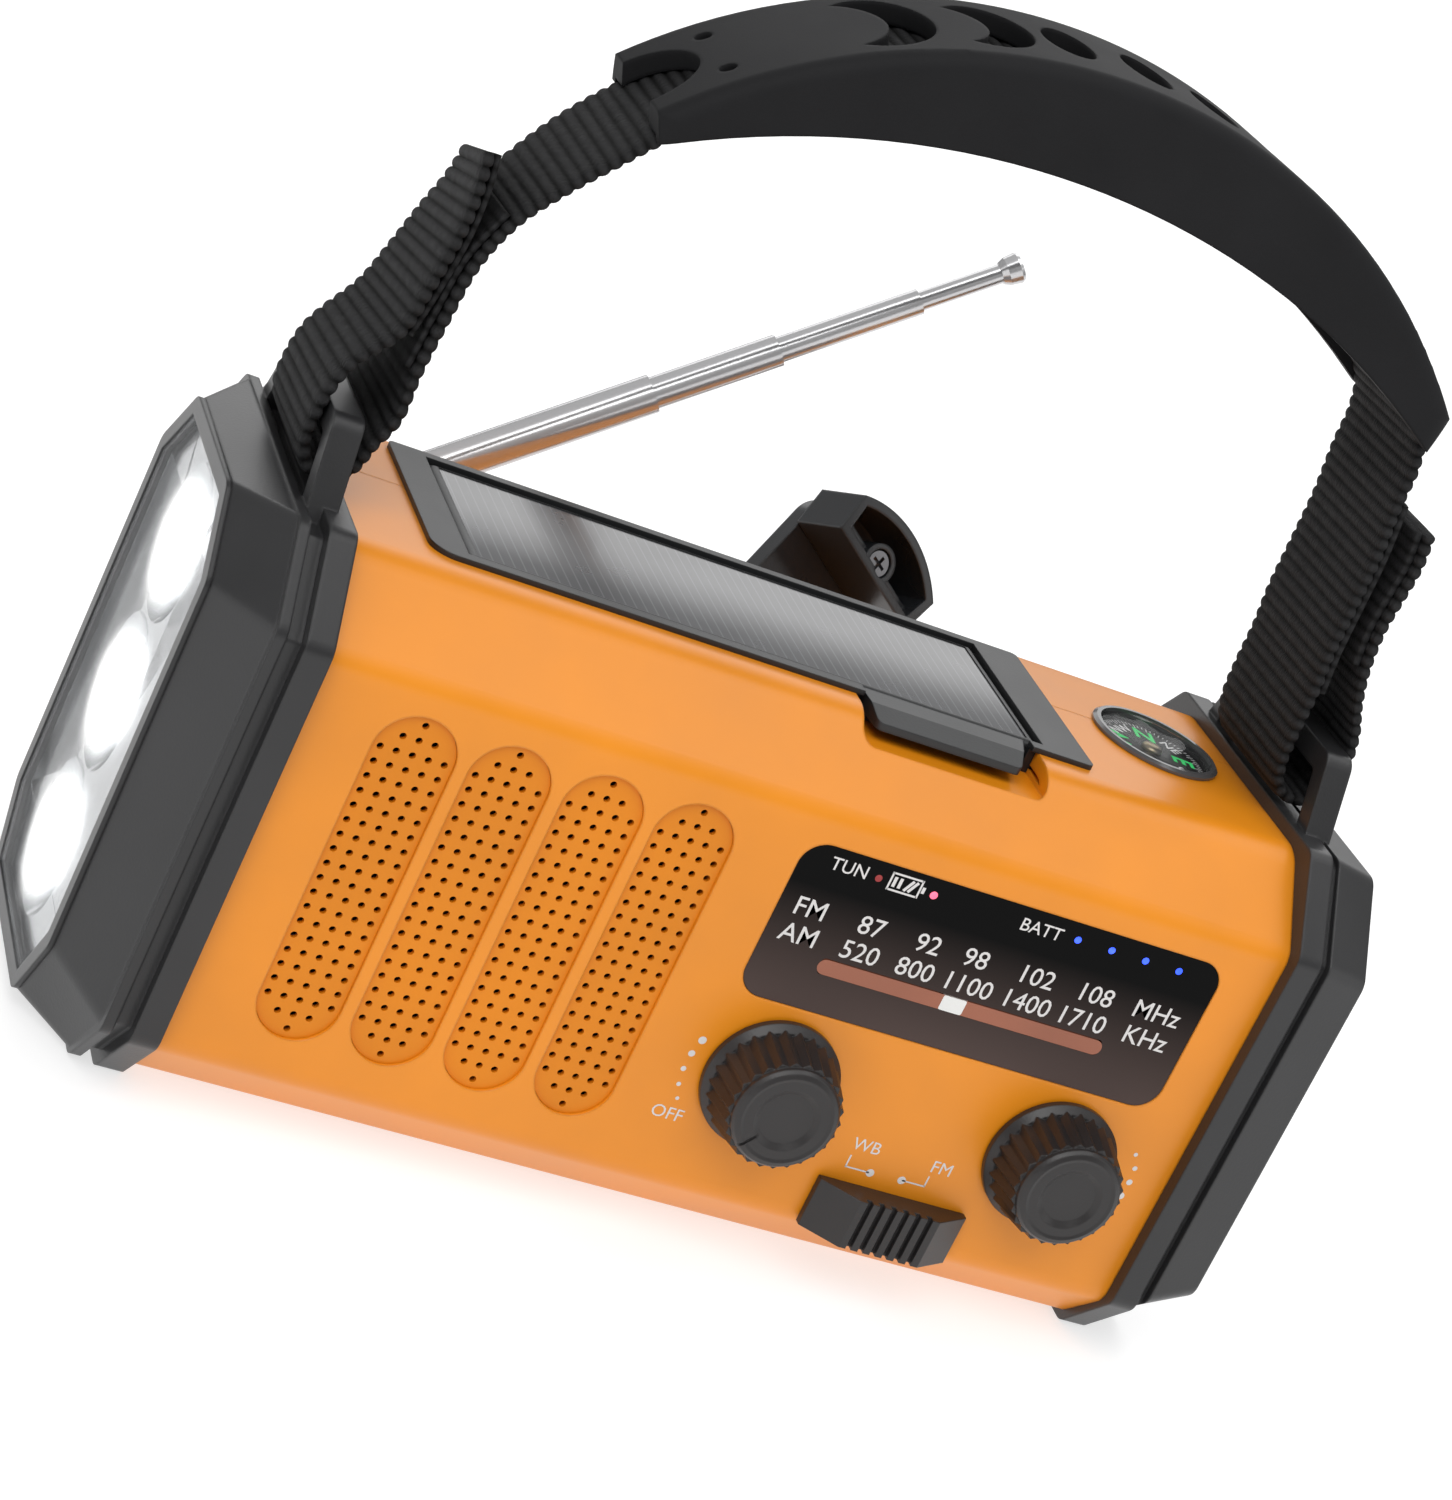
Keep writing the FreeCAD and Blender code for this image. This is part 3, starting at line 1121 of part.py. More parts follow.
def strap_grip():
    """Rubber channel over the webbing, with windows, two eyes and a notch where the webbing enters."""
    block = grip_profile()
    flat_edges = [edge for edge in block.Edges if edge.BoundBox.YLength < 0.01]
    long_edges = [edge for edge in flat_edges if edge.BoundBox.XLength > 60 and edge.BoundBox.ZMax > 170]
    block = block.makeFillet(2.6, long_edges)
    side = GRIP_BAND_WIDTH / 2 - 2.4
    x0, x1 = GRIP_ENDS_X
    cuts = [arc_band(GRIP_ARC_RADIUS - GRIP_TOP_THICKNESS, 40.0, x0 - 6, x1 + 6, -side, side)]
    for x, length, width in GRIP_CRESCENTS:
        cuts.append(on_grip(crescent_hole(length, width), x))
    for x, length, width in GRIP_OVALS:
        cuts.append(on_grip(ellipse_hole(length, width), x))
    for y in (-GRIP_EYE_Y, GRIP_EYE_Y):
        eye = rod(GRIP_EYE_RADIUS, vec(0, y, -7), vec(0, y, 5))
        cuts.append(on_grip(eye, GRIP_EYE_X))
    cuts.append(on_grip(ellipse_hole(18.0, 17.0), x0))
    half = GRIP_BAND_WIDTH / 2
    corners = [(x0 - 1, -half, GRIP_CORNER), (x1 + 1, -half, GRIP_CORNER), (x1 + 1, half, GRIP_CORNER),
               (x0 - 1, half, GRIP_CORNER)]
    plan = plate(corners, across_z(100.0), vec(0, 0, 100))
    return block.common(plan).cut(cuts)


def strap_webbing():
    """Webbing under the grip and down to just above each lug, doubled by its folded ends."""
    half = WEB_WIDTH / 2 - 0.1
    line = GRIP_ARC_RADIUS - GRIP_TOP_THICKNESS
    x0, x1 = GRIP_ENDS_X
    pieces = [arc_band(line, line - WEB_THICKNESS, x0, x1, -half, half)]
    pieces += [web_strip(path, WEB_THICKNESS, half) for path in (STRAP_LEFT, STRAP_RIGHT)]
    pieces += [web_strip(path, FOLDED_THICKNESS, half) for path in (FOLDED_LEFT, FOLDED_RIGHT)]
    return union(pieces)


def strap_loop(side):
    """Webbing loop round one lug's bar; side is -1 for the left lug and 1 for the right."""
    x0, x1 = (-85.3, -71.6) if side < 0 else (73.2, 85.4)
    outline = rectangle(x0, x1, 90.2, 99.4, 3.6)
    half = WEB_WIDTH / 2
    ring = plate(outline, across_y(-half), vec(0, 2 * half, 0))
    return ring.cut(plate(inset(outline, WEB_THICKNESS), across_y(-half - 1), vec(0, 2 * half + 2, 0)))


# ---------------------------------------------------------------- the assembly

PIECES = {
    "front_shell": front_shell,
    "speaker_grille_panels": grille_panels,
    "back_shell": back_shell,
    "housing_screws": housing_screws,
    "lamp_housing": lamp_housing,
    "lamp_rim": lamp_rim,
    "lamp_lens": lamp_lens,
    "lamp_reflector": lamp_reflector,
    "lamp_led_board": lamp_led_board,
    "right_cap": right_cap,
    "usb_a_socket": usb_a_socket,
    "usb_c_socket": usb_c_socket,
    "end_board": end_board,
    "port_cover": port_cover,
    "lamp_button": lambda: push_button(-BUTTON_Y),
    "alarm_button": lambda: push_button(BUTTON_Y),
    "dial_window": dial_window,
    "dial_light_bar": dial_light_bar,
    "display_board": display_board,
    "status_leds": status_leds,
    "tuning_pointer": tuning_pointer,
    "dial_cord": dial_cord,
    "volume_knob": lambda: knob(VOLUME_X, KNOB_MARK_ANGLE),
    "volume_shaft": volume_shaft,
    "volume_pot": volume_pot,
    "tuning_knob": lambda: knob(TUNING_X),
    "tuning_shaft": tuning_shaft,
    "tuning_capacitor": tuning_capacitor,
    "band_switch_slider": band_switch_slider,
    "band_switch_body": band_switch_body,
    "main_board": main_board,
    "speaker": speaker,
    "battery_cells": battery_cells,
    "battery_tray": battery_tray,
    "ferrite_rod": ferrite_rod,
    "gearbox_frame": gearbox_frame,
    "generator": generator,
    "generator_pinion": generator_pinion,
    "crank_gear": crank_gear,
    "crank_hub": crank_hub,
    "crank_hinge_pin": crank_hinge_pin,
    "crank_arm": crank_arm,
    "crank_grip": crank_grip,
    "crank_grip_screw": crank_grip_screw,
    "antenna_base": antenna_base,
    "antenna_tube_1": antenna_tube_1,
    "antenna_tube_2": lambda: place_antenna(tube(1)),
    "antenna_tube_3": lambda: place_antenna(tube(2)),
    "antenna_tip_rod": antenna_tip_rod,
    "solar_tray": solar_tray,
    "lid_frame": lid_frame,
    "solar_cell": solar_cell,
    "reading_lamp": reading_lamp,
    "compass_case": compass_case,
    "compass_card": compass_card,
    "compass_dome": compass_dome,
    "strap_grip": strap_grip,
    "strap_webbing": strap_webbing,
    "strap_loop_left": lambda: strap_loop(-1),
    "strap_loop_right": lambda: strap_loop(1),
}


def build():
    """All pieces by name, in the part's own frame, and the shift that brought them there."""
    shapes = {name: make() for name, make in PIECES.items()}
    bounds = Part.makeCompound(list(shapes.values())).optimalBoundingBox(False, False)
    shift = vec(-(bounds.XMin + bounds.XMax) / 2, -(bounds.YMin + bounds.YMax) / 2, -bounds.ZMin)
    for shape in shapes.values():
        shape.translate(shift)
    return shapes, shift


if __name__ == "__main__":
    for name, shape in build()[0].items():
        shape.exportStep(f"parts/{name}.step")
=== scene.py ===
import math

import bpy
import numpy as np
from mathutils import Matrix, Vector


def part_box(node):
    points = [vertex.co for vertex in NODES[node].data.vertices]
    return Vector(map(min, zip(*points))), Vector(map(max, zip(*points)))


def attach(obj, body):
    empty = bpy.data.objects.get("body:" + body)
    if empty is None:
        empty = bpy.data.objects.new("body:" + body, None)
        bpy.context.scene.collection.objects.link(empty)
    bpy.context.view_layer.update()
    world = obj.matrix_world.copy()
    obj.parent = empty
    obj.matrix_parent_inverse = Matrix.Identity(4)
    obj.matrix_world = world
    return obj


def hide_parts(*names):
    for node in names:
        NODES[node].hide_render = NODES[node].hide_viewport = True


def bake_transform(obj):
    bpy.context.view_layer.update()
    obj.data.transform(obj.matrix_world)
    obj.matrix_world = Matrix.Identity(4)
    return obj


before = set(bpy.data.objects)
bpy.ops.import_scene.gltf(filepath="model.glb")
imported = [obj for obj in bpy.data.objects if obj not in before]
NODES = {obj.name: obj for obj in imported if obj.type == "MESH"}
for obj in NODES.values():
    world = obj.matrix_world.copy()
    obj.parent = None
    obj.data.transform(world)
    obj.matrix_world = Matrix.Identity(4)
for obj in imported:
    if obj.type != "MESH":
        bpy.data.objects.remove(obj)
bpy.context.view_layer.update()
MM = 0.001

# The layout's millimetres: X along the radio, Y front to back, Z up, centred on the housing.
# The dial window's centre in that layout is known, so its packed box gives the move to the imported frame.
WINDOW_CENTRE = Vector((32.8, -35.025, 53.9))
window_low, window_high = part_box("dial_window")
LAYOUT_MOVE = (window_low + window_high) / 2 - WINDOW_CENTRE * MM


def place(x, y, z):
    return Vector((x, y, z)) * MM + LAYOUT_MOVE


# ---------------------------------------------------------------- materials

def link(tree, source, target):
    tree.links.new(source, target)


def new_material(name):
    material = bpy.data.materials.new(name)
    material.use_nodes = True
    tree = material.node_tree
    return material, tree, tree.nodes["Principled BSDF"]


def object_axes(tree):
    """X, Y and Z of the point on the object, as separate outputs."""
    coordinates = tree.nodes.new("ShaderNodeTexCoord")
    axes = tree.nodes.new("ShaderNodeSeparateXYZ")
    link(tree, coordinates.outputs["Object"], axes.inputs["Vector"])
    return axes.outputs


def calculate(tree, operation, first, second=None):
    """Maths node; second is another output or a plain number."""
    node = tree.nodes.new("ShaderNodeMath")
    node.operation = operation
    link(tree, first, node.inputs[0])
    if isinstance(second, (int, float)):
        node.inputs[1].default_value = second
    elif second is not None:
        link(tree, second, node.inputs[1])
    return node


def add_bump(tree, height, strength, depth):
    bump = tree.nodes.new("ShaderNodeBump")
    bump.inputs["Strength"].default_value = strength
    bump.inputs["Distance"].default_value = depth
    link(tree, height, bump.inputs["Height"])
    return bump


def noise_texture(tree, scale, detail=3.0, stretch=(1, 1, 1)):
    coordinates = tree.nodes.new("ShaderNodeTexCoord")
    mapping = tree.nodes.new("ShaderNodeMapping")
    mapping.inputs["Scale"].default_value = stretch
    noise = tree.nodes.new("ShaderNodeTexNoise")
    noise.inputs["Scale"].default_value = scale
    noise.inputs["Detail"].default_value = detail
    link(tree, coordinates.outputs["Object"], mapping.inputs["Vector"])
    link(tree, mapping.outputs["Vector"], noise.inputs["Vector"])
    return noise


def ramp_between(tree, factor, low, high, start=0.3, end=0.7):
    ramp = tree.nodes.new("ShaderNodeValToRGB")
    ramp.color_ramp.elements[0].position = start
    ramp.color_ramp.elements[0].color = (*low, 1)
    ramp.color_ramp.elements[1].position = end
    ramp.color_ramp.elements[1].color = (*high, 1)
    link(tree, factor, ramp.inputs["Fac"])
    return ramp.outputs["Color"]


def range_between(tree, factor, low, high):
    node = tree.nodes.new("ShaderNodeMapRange")
    node.inputs["To Min"].default_value = low
    node.inputs["To Max"].default_value = high
    link(tree, factor, node.inputs["Value"])
    return node.outputs["Result"]


def moulded(name, colour, roughness, spread=0.08, patch_scale=45, grain_scale=2600, grain=0.25,
            grain_depth=0.00004, edge=0.0, sockets=None, stretch=(1, 1, 1)):
    """Surface with broad shade patches, patchy gloss, fine grain and, if edge is given, rounded edges."""
    material, tree, shader = new_material(name)
    patches = noise_texture(tree, patch_scale)
    low = [max(c * (1 - spread), 0) for c in colour]
    high = [min(c * (1 + spread), 1) for c in colour]
    link(tree, ramp_between(tree, patches.outputs["Fac"], low, high), shader.inputs["Base Color"])
    link(tree, range_between(tree, patches.outputs["Fac"], roughness * 0.85, min(roughness * 1.15, 1)),
         shader.inputs["Roughness"])
    fine = noise_texture(tree, grain_scale, 2.0, stretch)
    bump = add_bump(tree, fine.outputs["Fac"], grain, grain_depth)
    if edge:
        bevel = tree.nodes.new("ShaderNodeBevel")
        bevel.samples = 4
        bevel.inputs["Radius"].default_value = edge
        link(tree, bevel.outputs["Normal"], bump.inputs["Normal"])
    link(tree, bump.outputs["Normal"], shader.inputs["Normal"])
    for socket, value in (sockets or {}).items():
        shader.inputs[socket].default_value = value
    return material


def glowing(name, colour, strength):
    """Light source whose brightness falls off unevenly over its face."""
    material, tree, shader = new_material(name)
    patches = noise_texture(tree, 900)
    soft = [min(1, c * 1.15 + 0.05) for c in colour]
    link(tree, ramp_between(tree, patches.outputs["Fac"], colour, soft), shader.inputs["Emission Color"])
    shader.inputs["Emission Strength"].default_value = strength
    shader.inputs["Base Color"].default_value = (*colour, 1)
    return material


LID_DEPTH = (-13.0, 8.0)
CELL_LINE_PITCH = 1.7 * MM
CELL_DARK = (0.022, 0.023, 0.026)
CELL_LINE = (0.085, 0.088, 0.095)


def solar_cell_material():
    """Dark cell with fine grid lines, faint colour patches and gloss that rises towards the rear."""
    material, tree, shader = new_material("solar_cell_face")
    axes = object_axes(tree)
    wave = calculate(tree, "MULTIPLY", axes["X"], 2 * math.pi / CELL_LINE_PITCH)
    sine = calculate(tree, "SINE", wave.outputs["Value"])
    lines = ramp_between(tree, sine.outputs["Value"], CELL_DARK, CELL_LINE, 0.80, 0.99)
    patches = noise_texture(tree, 120)
    mix = tree.nodes.new("ShaderNodeMix")
    mix.data_type = "RGBA"
    mix.blend_type = "MULTIPLY"
    mix.inputs["Factor"].default_value = 0.6
    link(tree, lines, mix.inputs["A"])
    link(tree, ramp_between(tree, patches.outputs["Fac"], (0.7, 0.72, 0.8), (1, 1, 1)), mix.inputs["B"])
    link(tree, mix.outputs["Result"], shader.inputs["Base Color"])
    link(tree, range_between(tree, patches.outputs["Fac"], 0.24, 0.34), shader.inputs["Roughness"])
    depth = tree.nodes.new("ShaderNodeMapRange")
    depth.interpolation_type = "SMOOTHSTEP"
    depth.inputs["From Min"].default_value = place(0, LID_DEPTH[0], 0).y
    depth.inputs["From Max"].default_value = place(0, LID_DEPTH[1], 0).y
    link(tree, axes["Y"], depth.inputs["Value"])
    link(tree, range_between(tree, depth.outputs["Result"], 0.03, 0.55), shader.inputs["Coat Weight"])
    link(tree, range_between(tree, depth.outputs["Result"], 0.12, 0.55),
         shader.inputs["Specular IOR Level"])
    shader.inputs["Coat Roughness"].default_value = 0.12
    return material


# Painted reflection: between these heights the window's colour pales from black at the top to brownish grey
# at its lower edge.
WINDOW_REFLECTION_Z = (41.4, 60.0)
WINDOW_PAINTED_REFLECTION = (0.085, 0.060, 0.054)
WINDOW_UPPER = (0.003, 0.003, 0.003)


def window_material():
    """Glossy black panel with a painted reflection: its colour pales a little towards its lower edge."""
    material, tree, shader = new_material("window_gloss")
    height = tree.nodes.new("ShaderNodeMapRange")
    height.inputs["From Min"].default_value = place(0, 0, WINDOW_REFLECTION_Z[0]).z
    height.inputs["From Max"].default_value = place(0, 0, WINDOW_REFLECTION_Z[1]).z
    link(tree, object_axes(tree)["Z"], height.inputs["Value"])
    link(tree, ramp_between(tree, height.outputs["Result"], WINDOW_PAINTED_REFLECTION, WINDOW_UPPER, 0.0, 1.0),
         shader.inputs["Base Color"])
    patches = noise_texture(tree, 30)
    link(tree, range_between(tree, patches.outputs["Fac"], 0.09, 0.13), shader.inputs["Roughness"])
    shader.inputs["Specular IOR Level"].default_value = 0.06
    return material


YARN_DEPTH = 0.00025


def woven_material(name, shaded_valley, lit_ridge, specular):
    """Woven band with painted shade and highlight: ridges across it are painted paler than the valleys, with
    coarse yarn grain over both.
    """
    material, tree, shader = new_material(name)
    # The rib attribute paints shade into the valleys between ribs and highlight onto the ridges.
    rib = tree.nodes.new("ShaderNodeAttribute")
    rib.attribute_name = "rib"
    yarn = noise_texture(tree, 1500, 3.0, (1, 2.2, 1))
    patches = noise_texture(tree, 500)
    grain = range_between(tree, yarn.outputs["Fac"], 0.35, 1.3)
    mixed = calculate(tree, "MULTIPLY", rib.outputs["Fac"], grain)
    link(tree, ramp_between(tree, mixed.outputs["Value"], shaded_valley, lit_ridge, 0.15, 0.85),
         shader.inputs["Base Color"])
    link(tree, range_between(tree, patches.outputs["Fac"], 0.65, 0.9), shader.inputs["Roughness"])
    shader.inputs["Specular IOR Level"].default_value = specular
    bump = add_bump(tree, yarn.outputs["Fac"], 1.0, YARN_DEPTH)
    link(tree, bump.outputs["Normal"], shader.inputs["Normal"])
    return material


LAMP_FRONT_X = -91.4
LAMP_CUPS_Z = [18.6, 42.4, 66.2]
# Painted glow on the lens round each lamp: full within BLOOM_NEAR of a lamp's centre, gone by BLOOM_FAR.
BLOOM_NEAR = 2.0 * MM
BLOOM_FAR = 12.8 * MM


def lens_material():
    """Clear lens with a painted glow: a bright emitting patch round each lamp, thinning out towards the
    edges.
    """
    material, tree, shader = new_material("lamp_lens_clear")
    coordinates = tree.nodes.new("ShaderNodeTexCoord")
    painted_glow = None
    for cup_z in LAMP_CUPS_Z:
        distance = tree.nodes.new("ShaderNodeVectorMath")
        distance.operation = "DISTANCE"
        distance.inputs[1].default_value = place(LAMP_FRONT_X, 0, cup_z)
        link(tree, coordinates.outputs["Object"], distance.inputs[0])
        near = tree.nodes.new("ShaderNodeMapRange")
        near.interpolation_type = "SMOOTHERSTEP"
        near.inputs["From Min"].default_value = BLOOM_NEAR
        near.inputs["From Max"].default_value = BLOOM_FAR
        near.inputs["To Min"].default_value = 1.0
        near.inputs["To Max"].default_value = 0.0
        link(tree, distance.outputs["Value"], near.inputs["Value"])
        if painted_glow is None:
            painted_glow = near.outputs["Result"]
        else:
            both = calculate(tree, "ADD", painted_glow, near.outputs["Result"])
            both.use_clamp = True
            painted_glow = both.outputs["Value"]
    streaks = noise_texture(tree, 260, 4.0, (1, 0.35, 1))
    patchy = calculate(tree, "MULTIPLY", painted_glow, range_between(tree, streaks.outputs["Fac"], 0.75, 1.15))
    link(tree, range_between(tree, patchy.outputs["Value"], 0.10, 1.0), shader.inputs["Alpha"])
    # The painted glow: the lens itself emits light round each lamp.
    link(tree, range_between(tree, patchy.outputs["Value"], 0.0, 2.4), shader.inputs["Emission Strength"])
    shader.inputs["Emission Color"].default_value = (1.0, 1.0, 0.98, 1)
    link(tree, ramp_between(tree, streaks.outputs["Fac"], (0.80, 0.82, 0.84), (0.95, 0.96, 0.97)),
         shader.inputs["Base Color"])
    shader.inputs["Roughness"].default_value = 0.06
    return material


PLASTIC_EDGE = 0.0006
LOW_GLOSS = {"Specular IOR Level": 0.3}
materials = {
    "orange": moulded("orange_plastic", (0.80, 0.262, 0.006), 0.36, 0.05, edge=PLASTIC_EDGE, grain=0.16,
                      sockets={"Specular IOR Level": 0.55}),
    "grille": moulded("grille_plastic", (0.72, 0.225, 0.006), 0.46, 0.06, grain=0.18, sockets=LOW_GLOSS),
    "black": moulded("black_plastic", (0.020, 0.020, 0.021), 0.34, 0.15, edge=PLASTIC_EDGE, grain=0.5),
    "crank": moulded("crank_plastic", (0.021, 0.023, 0.026), 0.28, 0.15, edge=PLASTIC_EDGE, grain=0.5,
                     sockets={"Specular IOR Level": 0.6}),
    "control": moulded("control_plastic", (0.017, 0.015, 0.015), 0.36, 0.15, edge=0.0003, grain=0.4),
    "tray": moulded("tray_plastic", (0.015, 0.016, 0.017), 0.42, 0.10, edge=0.0003, grain=0.5),
    "rubber": moulded("grip_rubber", (0.014, 0.014, 0.015), 0.62, 0.15, edge=0.0008, grain=0.6,
                      grain_scale=4000, sockets={"Specular IOR Level": 0.10}),
    "window": window_material(),
    "light_bar": moulded("light_bar_amber", (0.26, 0.085, 0.045), 0.35, 0.12, grain=0.1,
                         sockets={"Emission Color": (0.45, 0.15, 0.08, 1), "Emission Strength": 0.12}),
    "white": moulded("white_plastic", (0.78, 0.78, 0.76), 0.38, 0.04, grain=0.1),
    "chrome": moulded("chrome_plate", (0.66, 0.66, 0.67), 0.20, 0.03, grain=0.03, stretch=(1, 1, 8),
                      sockets={"Metallic": 0.72}),
    "steel": moulded("plated_steel", (0.24, 0.24, 0.25), 0.34, 0.08, grain=0.1, sockets={"Metallic": 1.0}),
    "mirror": moulded("reflector_coat", (0.52, 0.53, 0.54), 0.16, 0.03, grain=0.02,
                      sockets={"Metallic": 1.0}),
    "dome": moulded("clear_dome", (0.02, 0.021, 0.022), 0.05, 0.05, grain=0.02,
                    sockets={"Alpha": 0.22, "Specular IOR Level": 0.7}),
    "board": moulded("circuit_board", (0.02, 0.09, 0.035), 0.45, 0.3, patch_scale=300, grain=0.3),
    "ferrite": moulded("ferrite_core", (0.05, 0.047, 0.045), 0.7, 0.2, grain=0.6),
    "cell_wrap": moulded("cell_wrap", (0.05, 0.16, 0.42), 0.35, 0.12, grain=0.1),
    "speaker": moulded("speaker_paper", (0.020, 0.018, 0.017), 0.85, 0.25, grain=0.9, grain_scale=900),
    "cord": moulded("dial_cord_yarn", (0.42, 0.37, 0.26), 0.9, 0.2, grain=1.0, grain_scale=5000),
    "solar": solar_cell_material(),
    # Webbing and fastener pile: painted shade in the valleys between ribs, painted highlight on the ridges.
    "webbing": woven_material("webbing_yarn", (0.003, 0.003, 0.003), (0.022, 0.022, 0.023), 0.2),
    "pile": woven_material("fastener_pile", (0.003, 0.003, 0.003), (0.020, 0.020, 0.021), 0.2),
    "print": moulded("printed_ink", (0.70, 0.68, 0.67), 0.5, 0.02, grain=0.0, sockets=LOW_GLOSS),
    # Painted glow: the compass card's green letters and white print emit light of their own, though the card
    # has no lamp.
    "green_glow_print": moulded("compass_green", (0.03, 0.55, 0.12), 0.5, 0.03, grain=0.0,
                     sockets={"Emission Color": (0.05, 0.75, 0.20, 1), "Emission Strength": 0.75}),
    "card_print_glow": moulded("card_print_glow", (0.82, 0.82, 0.82), 0.5, 0.02, grain=0.0,
                          sockets={"Emission Color": (1, 1, 1, 1), "Emission Strength": 0.45}),
    "smoke": moulded("smoked_rim", (0.085, 0.085, 0.088), 0.16, 0.1, grain=0.05,
                     sockets={"Specular IOR Level": 0.7}),
    "brass": moulded("pivot_brass", (0.55, 0.45, 0.28), 0.3, 0.05, grain=0.1, sockets={"Metallic": 1.0}),
    "red_button": moulded("red_plastic", (0.55, 0.03, 0.02), 0.4, 0.06, grain=0.2, edge=0.0003),
    "lamp_glow": glowing("lamp_glow", (1.0, 0.99, 0.97), 30.0),
    "blue_glow": glowing("blue_glow", (0.01, 0.06, 1.0), 1.6),
    "red_glow": glowing("red_glow", (0.95, 0.10, 0.18), 1.2),
    "dim_red": glowing("dim_red", (0.22, 0.01, 0.01), 0.4),
}

NODE_MATERIALS = {
    "orange": ["front_shell", "back_shell"],
    "grille": ["speaker_grille_panels"],
    "black": ["lamp_housing", "lamp_rim", "right_cap", "crank_hub", "antenna_base", "port_cover"],
    "smoke": ["compass_case"],
    "crank": ["crank_arm", "crank_grip"],
    "control": ["volume_knob", "tuning_knob", "band_switch_slider", "lamp_button"],
    "tray": ["solar_tray", "lid_frame", "band_switch_body", "battery_tray", "gearbox_frame"],
    "rubber": ["strap_grip"],
    "window": ["dial_window"],
    "light_bar": ["dial_light_bar"],
    "white": ["tuning_pointer", "crank_gear", "generator_pinion", "reading_lamp", "status_leds"],
    "chrome": ["antenna_tube_1", "antenna_tube_2", "antenna_tube_3", "antenna_tip_rod"],
    "steel": ["usb_a_socket", "usb_c_socket", "housing_screws", "volume_shaft", "tuning_shaft", "volume_pot",
              "tuning_capacitor", "generator", "crank_hinge_pin", "crank_grip_screw"],
    "mirror": ["lamp_reflector"],
    "dome": ["compass_dome"],
    "board": ["lamp_led_board", "end_board", "display_board", "main_board"],
    "ferrite": ["ferrite_rod"],
    "cell_wrap": ["battery_cells"],
    "speaker": ["speaker"],
    "cord": ["dial_cord"],
    "solar": ["solar_cell"],
    "webbing": ["strap_webbing", "strap_loop_left", "strap_loop_right"],
    "red_button": ["alarm_button"],
}
COMPASS_BLACK = moulded("compass_card_black", (0.012, 0.014, 0.013), 0.4, 0.1, grain=0.2)


def paint(node, material):
    slots = NODES[node].data.materials
    slots.clear()
    slots.append(material)


for key, names in NODE_MATERIALS.items():
    for node in names:
        paint(node, materials[key])
paint("compass_card", COMPASS_BLACK)
paint("lamp_lens", lens_material())


# ---------------------------------------------------------------- mesh helpers

def mesh_object(name, vertices, faces, material, body, smooth=True):
    mesh = bpy.data.meshes.new(name)
    mesh.from_pydata([tuple(v) for v in vertices], [], faces)
    mesh.validate()
    mesh.update()
    for polygon in mesh.polygons:
        polygon.use_smooth = smooth
    mesh.materials.append(material)
    piece = bpy.data.objects.new(name, mesh)
    bpy.context.scene.collection.objects.link(piece)
    if body:
        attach(piece, body)
    return piece


# Capital letters stand this share of the built-in font's size.
CAPITAL_HEIGHT = 0.70


class Marks:
    """Flat printed marks gathered into one mesh. to_space turns (u, v) in millimetres into a point."""

    def __init__(self, to_space):
        self.to_space = to_space
        self.vertices = []
        self.faces = []

    def polygon(self, points):
        start = len(self.vertices)
        self.vertices += [self.to_space(u, v) for u, v in points]
        self.faces.append(list(range(start, start + len(points))))

    def disc(self, u, v, radius, count=20):
        turn = 2 * math.pi / count
        self.polygon([(u + radius * math.cos(i * turn), v + radius * math.sin(i * turn))
                      for i in range(count)])

    def stroke(self, u0, v0, u1, v1, width):
        along = Vector((u1 - u0, v1 - v0)).normalized() * width / 2
        side = Vector((-along.y, along.x))
        self.polygon([(u0 + side.x, v0 + side.y), (u0 - side.x, v0 - side.y),
                      (u1 - side.x, v1 - side.y), (u1 + side.x, v1 + side.y)][::-1])

    def text(self, words, u, v, height, angle=0.0, bold=0.0):
        """Letters of the given capital height, centred on (u, v)."""
        curve = bpy.data.curves.new(words, "FONT")
        curve.body = words
        curve.align_x = "CENTER"
        curve.align_y = "CENTER"
        curve.size = height / CAPITAL_HEIGHT
        curve.offset = bold
        curve.resolution_u = 3
        holder = bpy.data.objects.new(words, curve)
        bpy.context.scene.collection.objects.link(holder)
        bpy.context.view_layer.update()
        evaluated = holder.evaluated_get(bpy.context.evaluated_depsgraph_get())
        mesh = bpy.data.meshes.new_from_object(evaluated)
        cos, sin = math.cos(angle), math.sin(angle)
        start = len(self.vertices)
        for vertex in mesh.vertices:
            x, y = vertex.co.x, vertex.co.y
            self.vertices.append(self.to_space(u + x * cos - y * sin, v + x * sin + y * cos))
        self.faces += [[start + index for index in polygon.vertices] for polygon in mesh.polygons]
        bpy.data.objects.remove(holder)
        bpy.data.curves.remove(curve)
        bpy.data.meshes.remove(mesh)

    def piece(self, name, material, body):
        return mesh_object(name, self.vertices, self.faces, material, body, smooth=False)


# ---------------------------------------------------------------- printed marks

def on_front(y):
    return lambda u, v: place(u, y, v)


# Planes that the marks lie in, each just in front of what carries them.
LIGHT_BAR_Y = -35.87
WINDOW_PRINT_Y = -35.88
GLOW_Y = -35.89
SHELL_PRINT_Y = -36.03

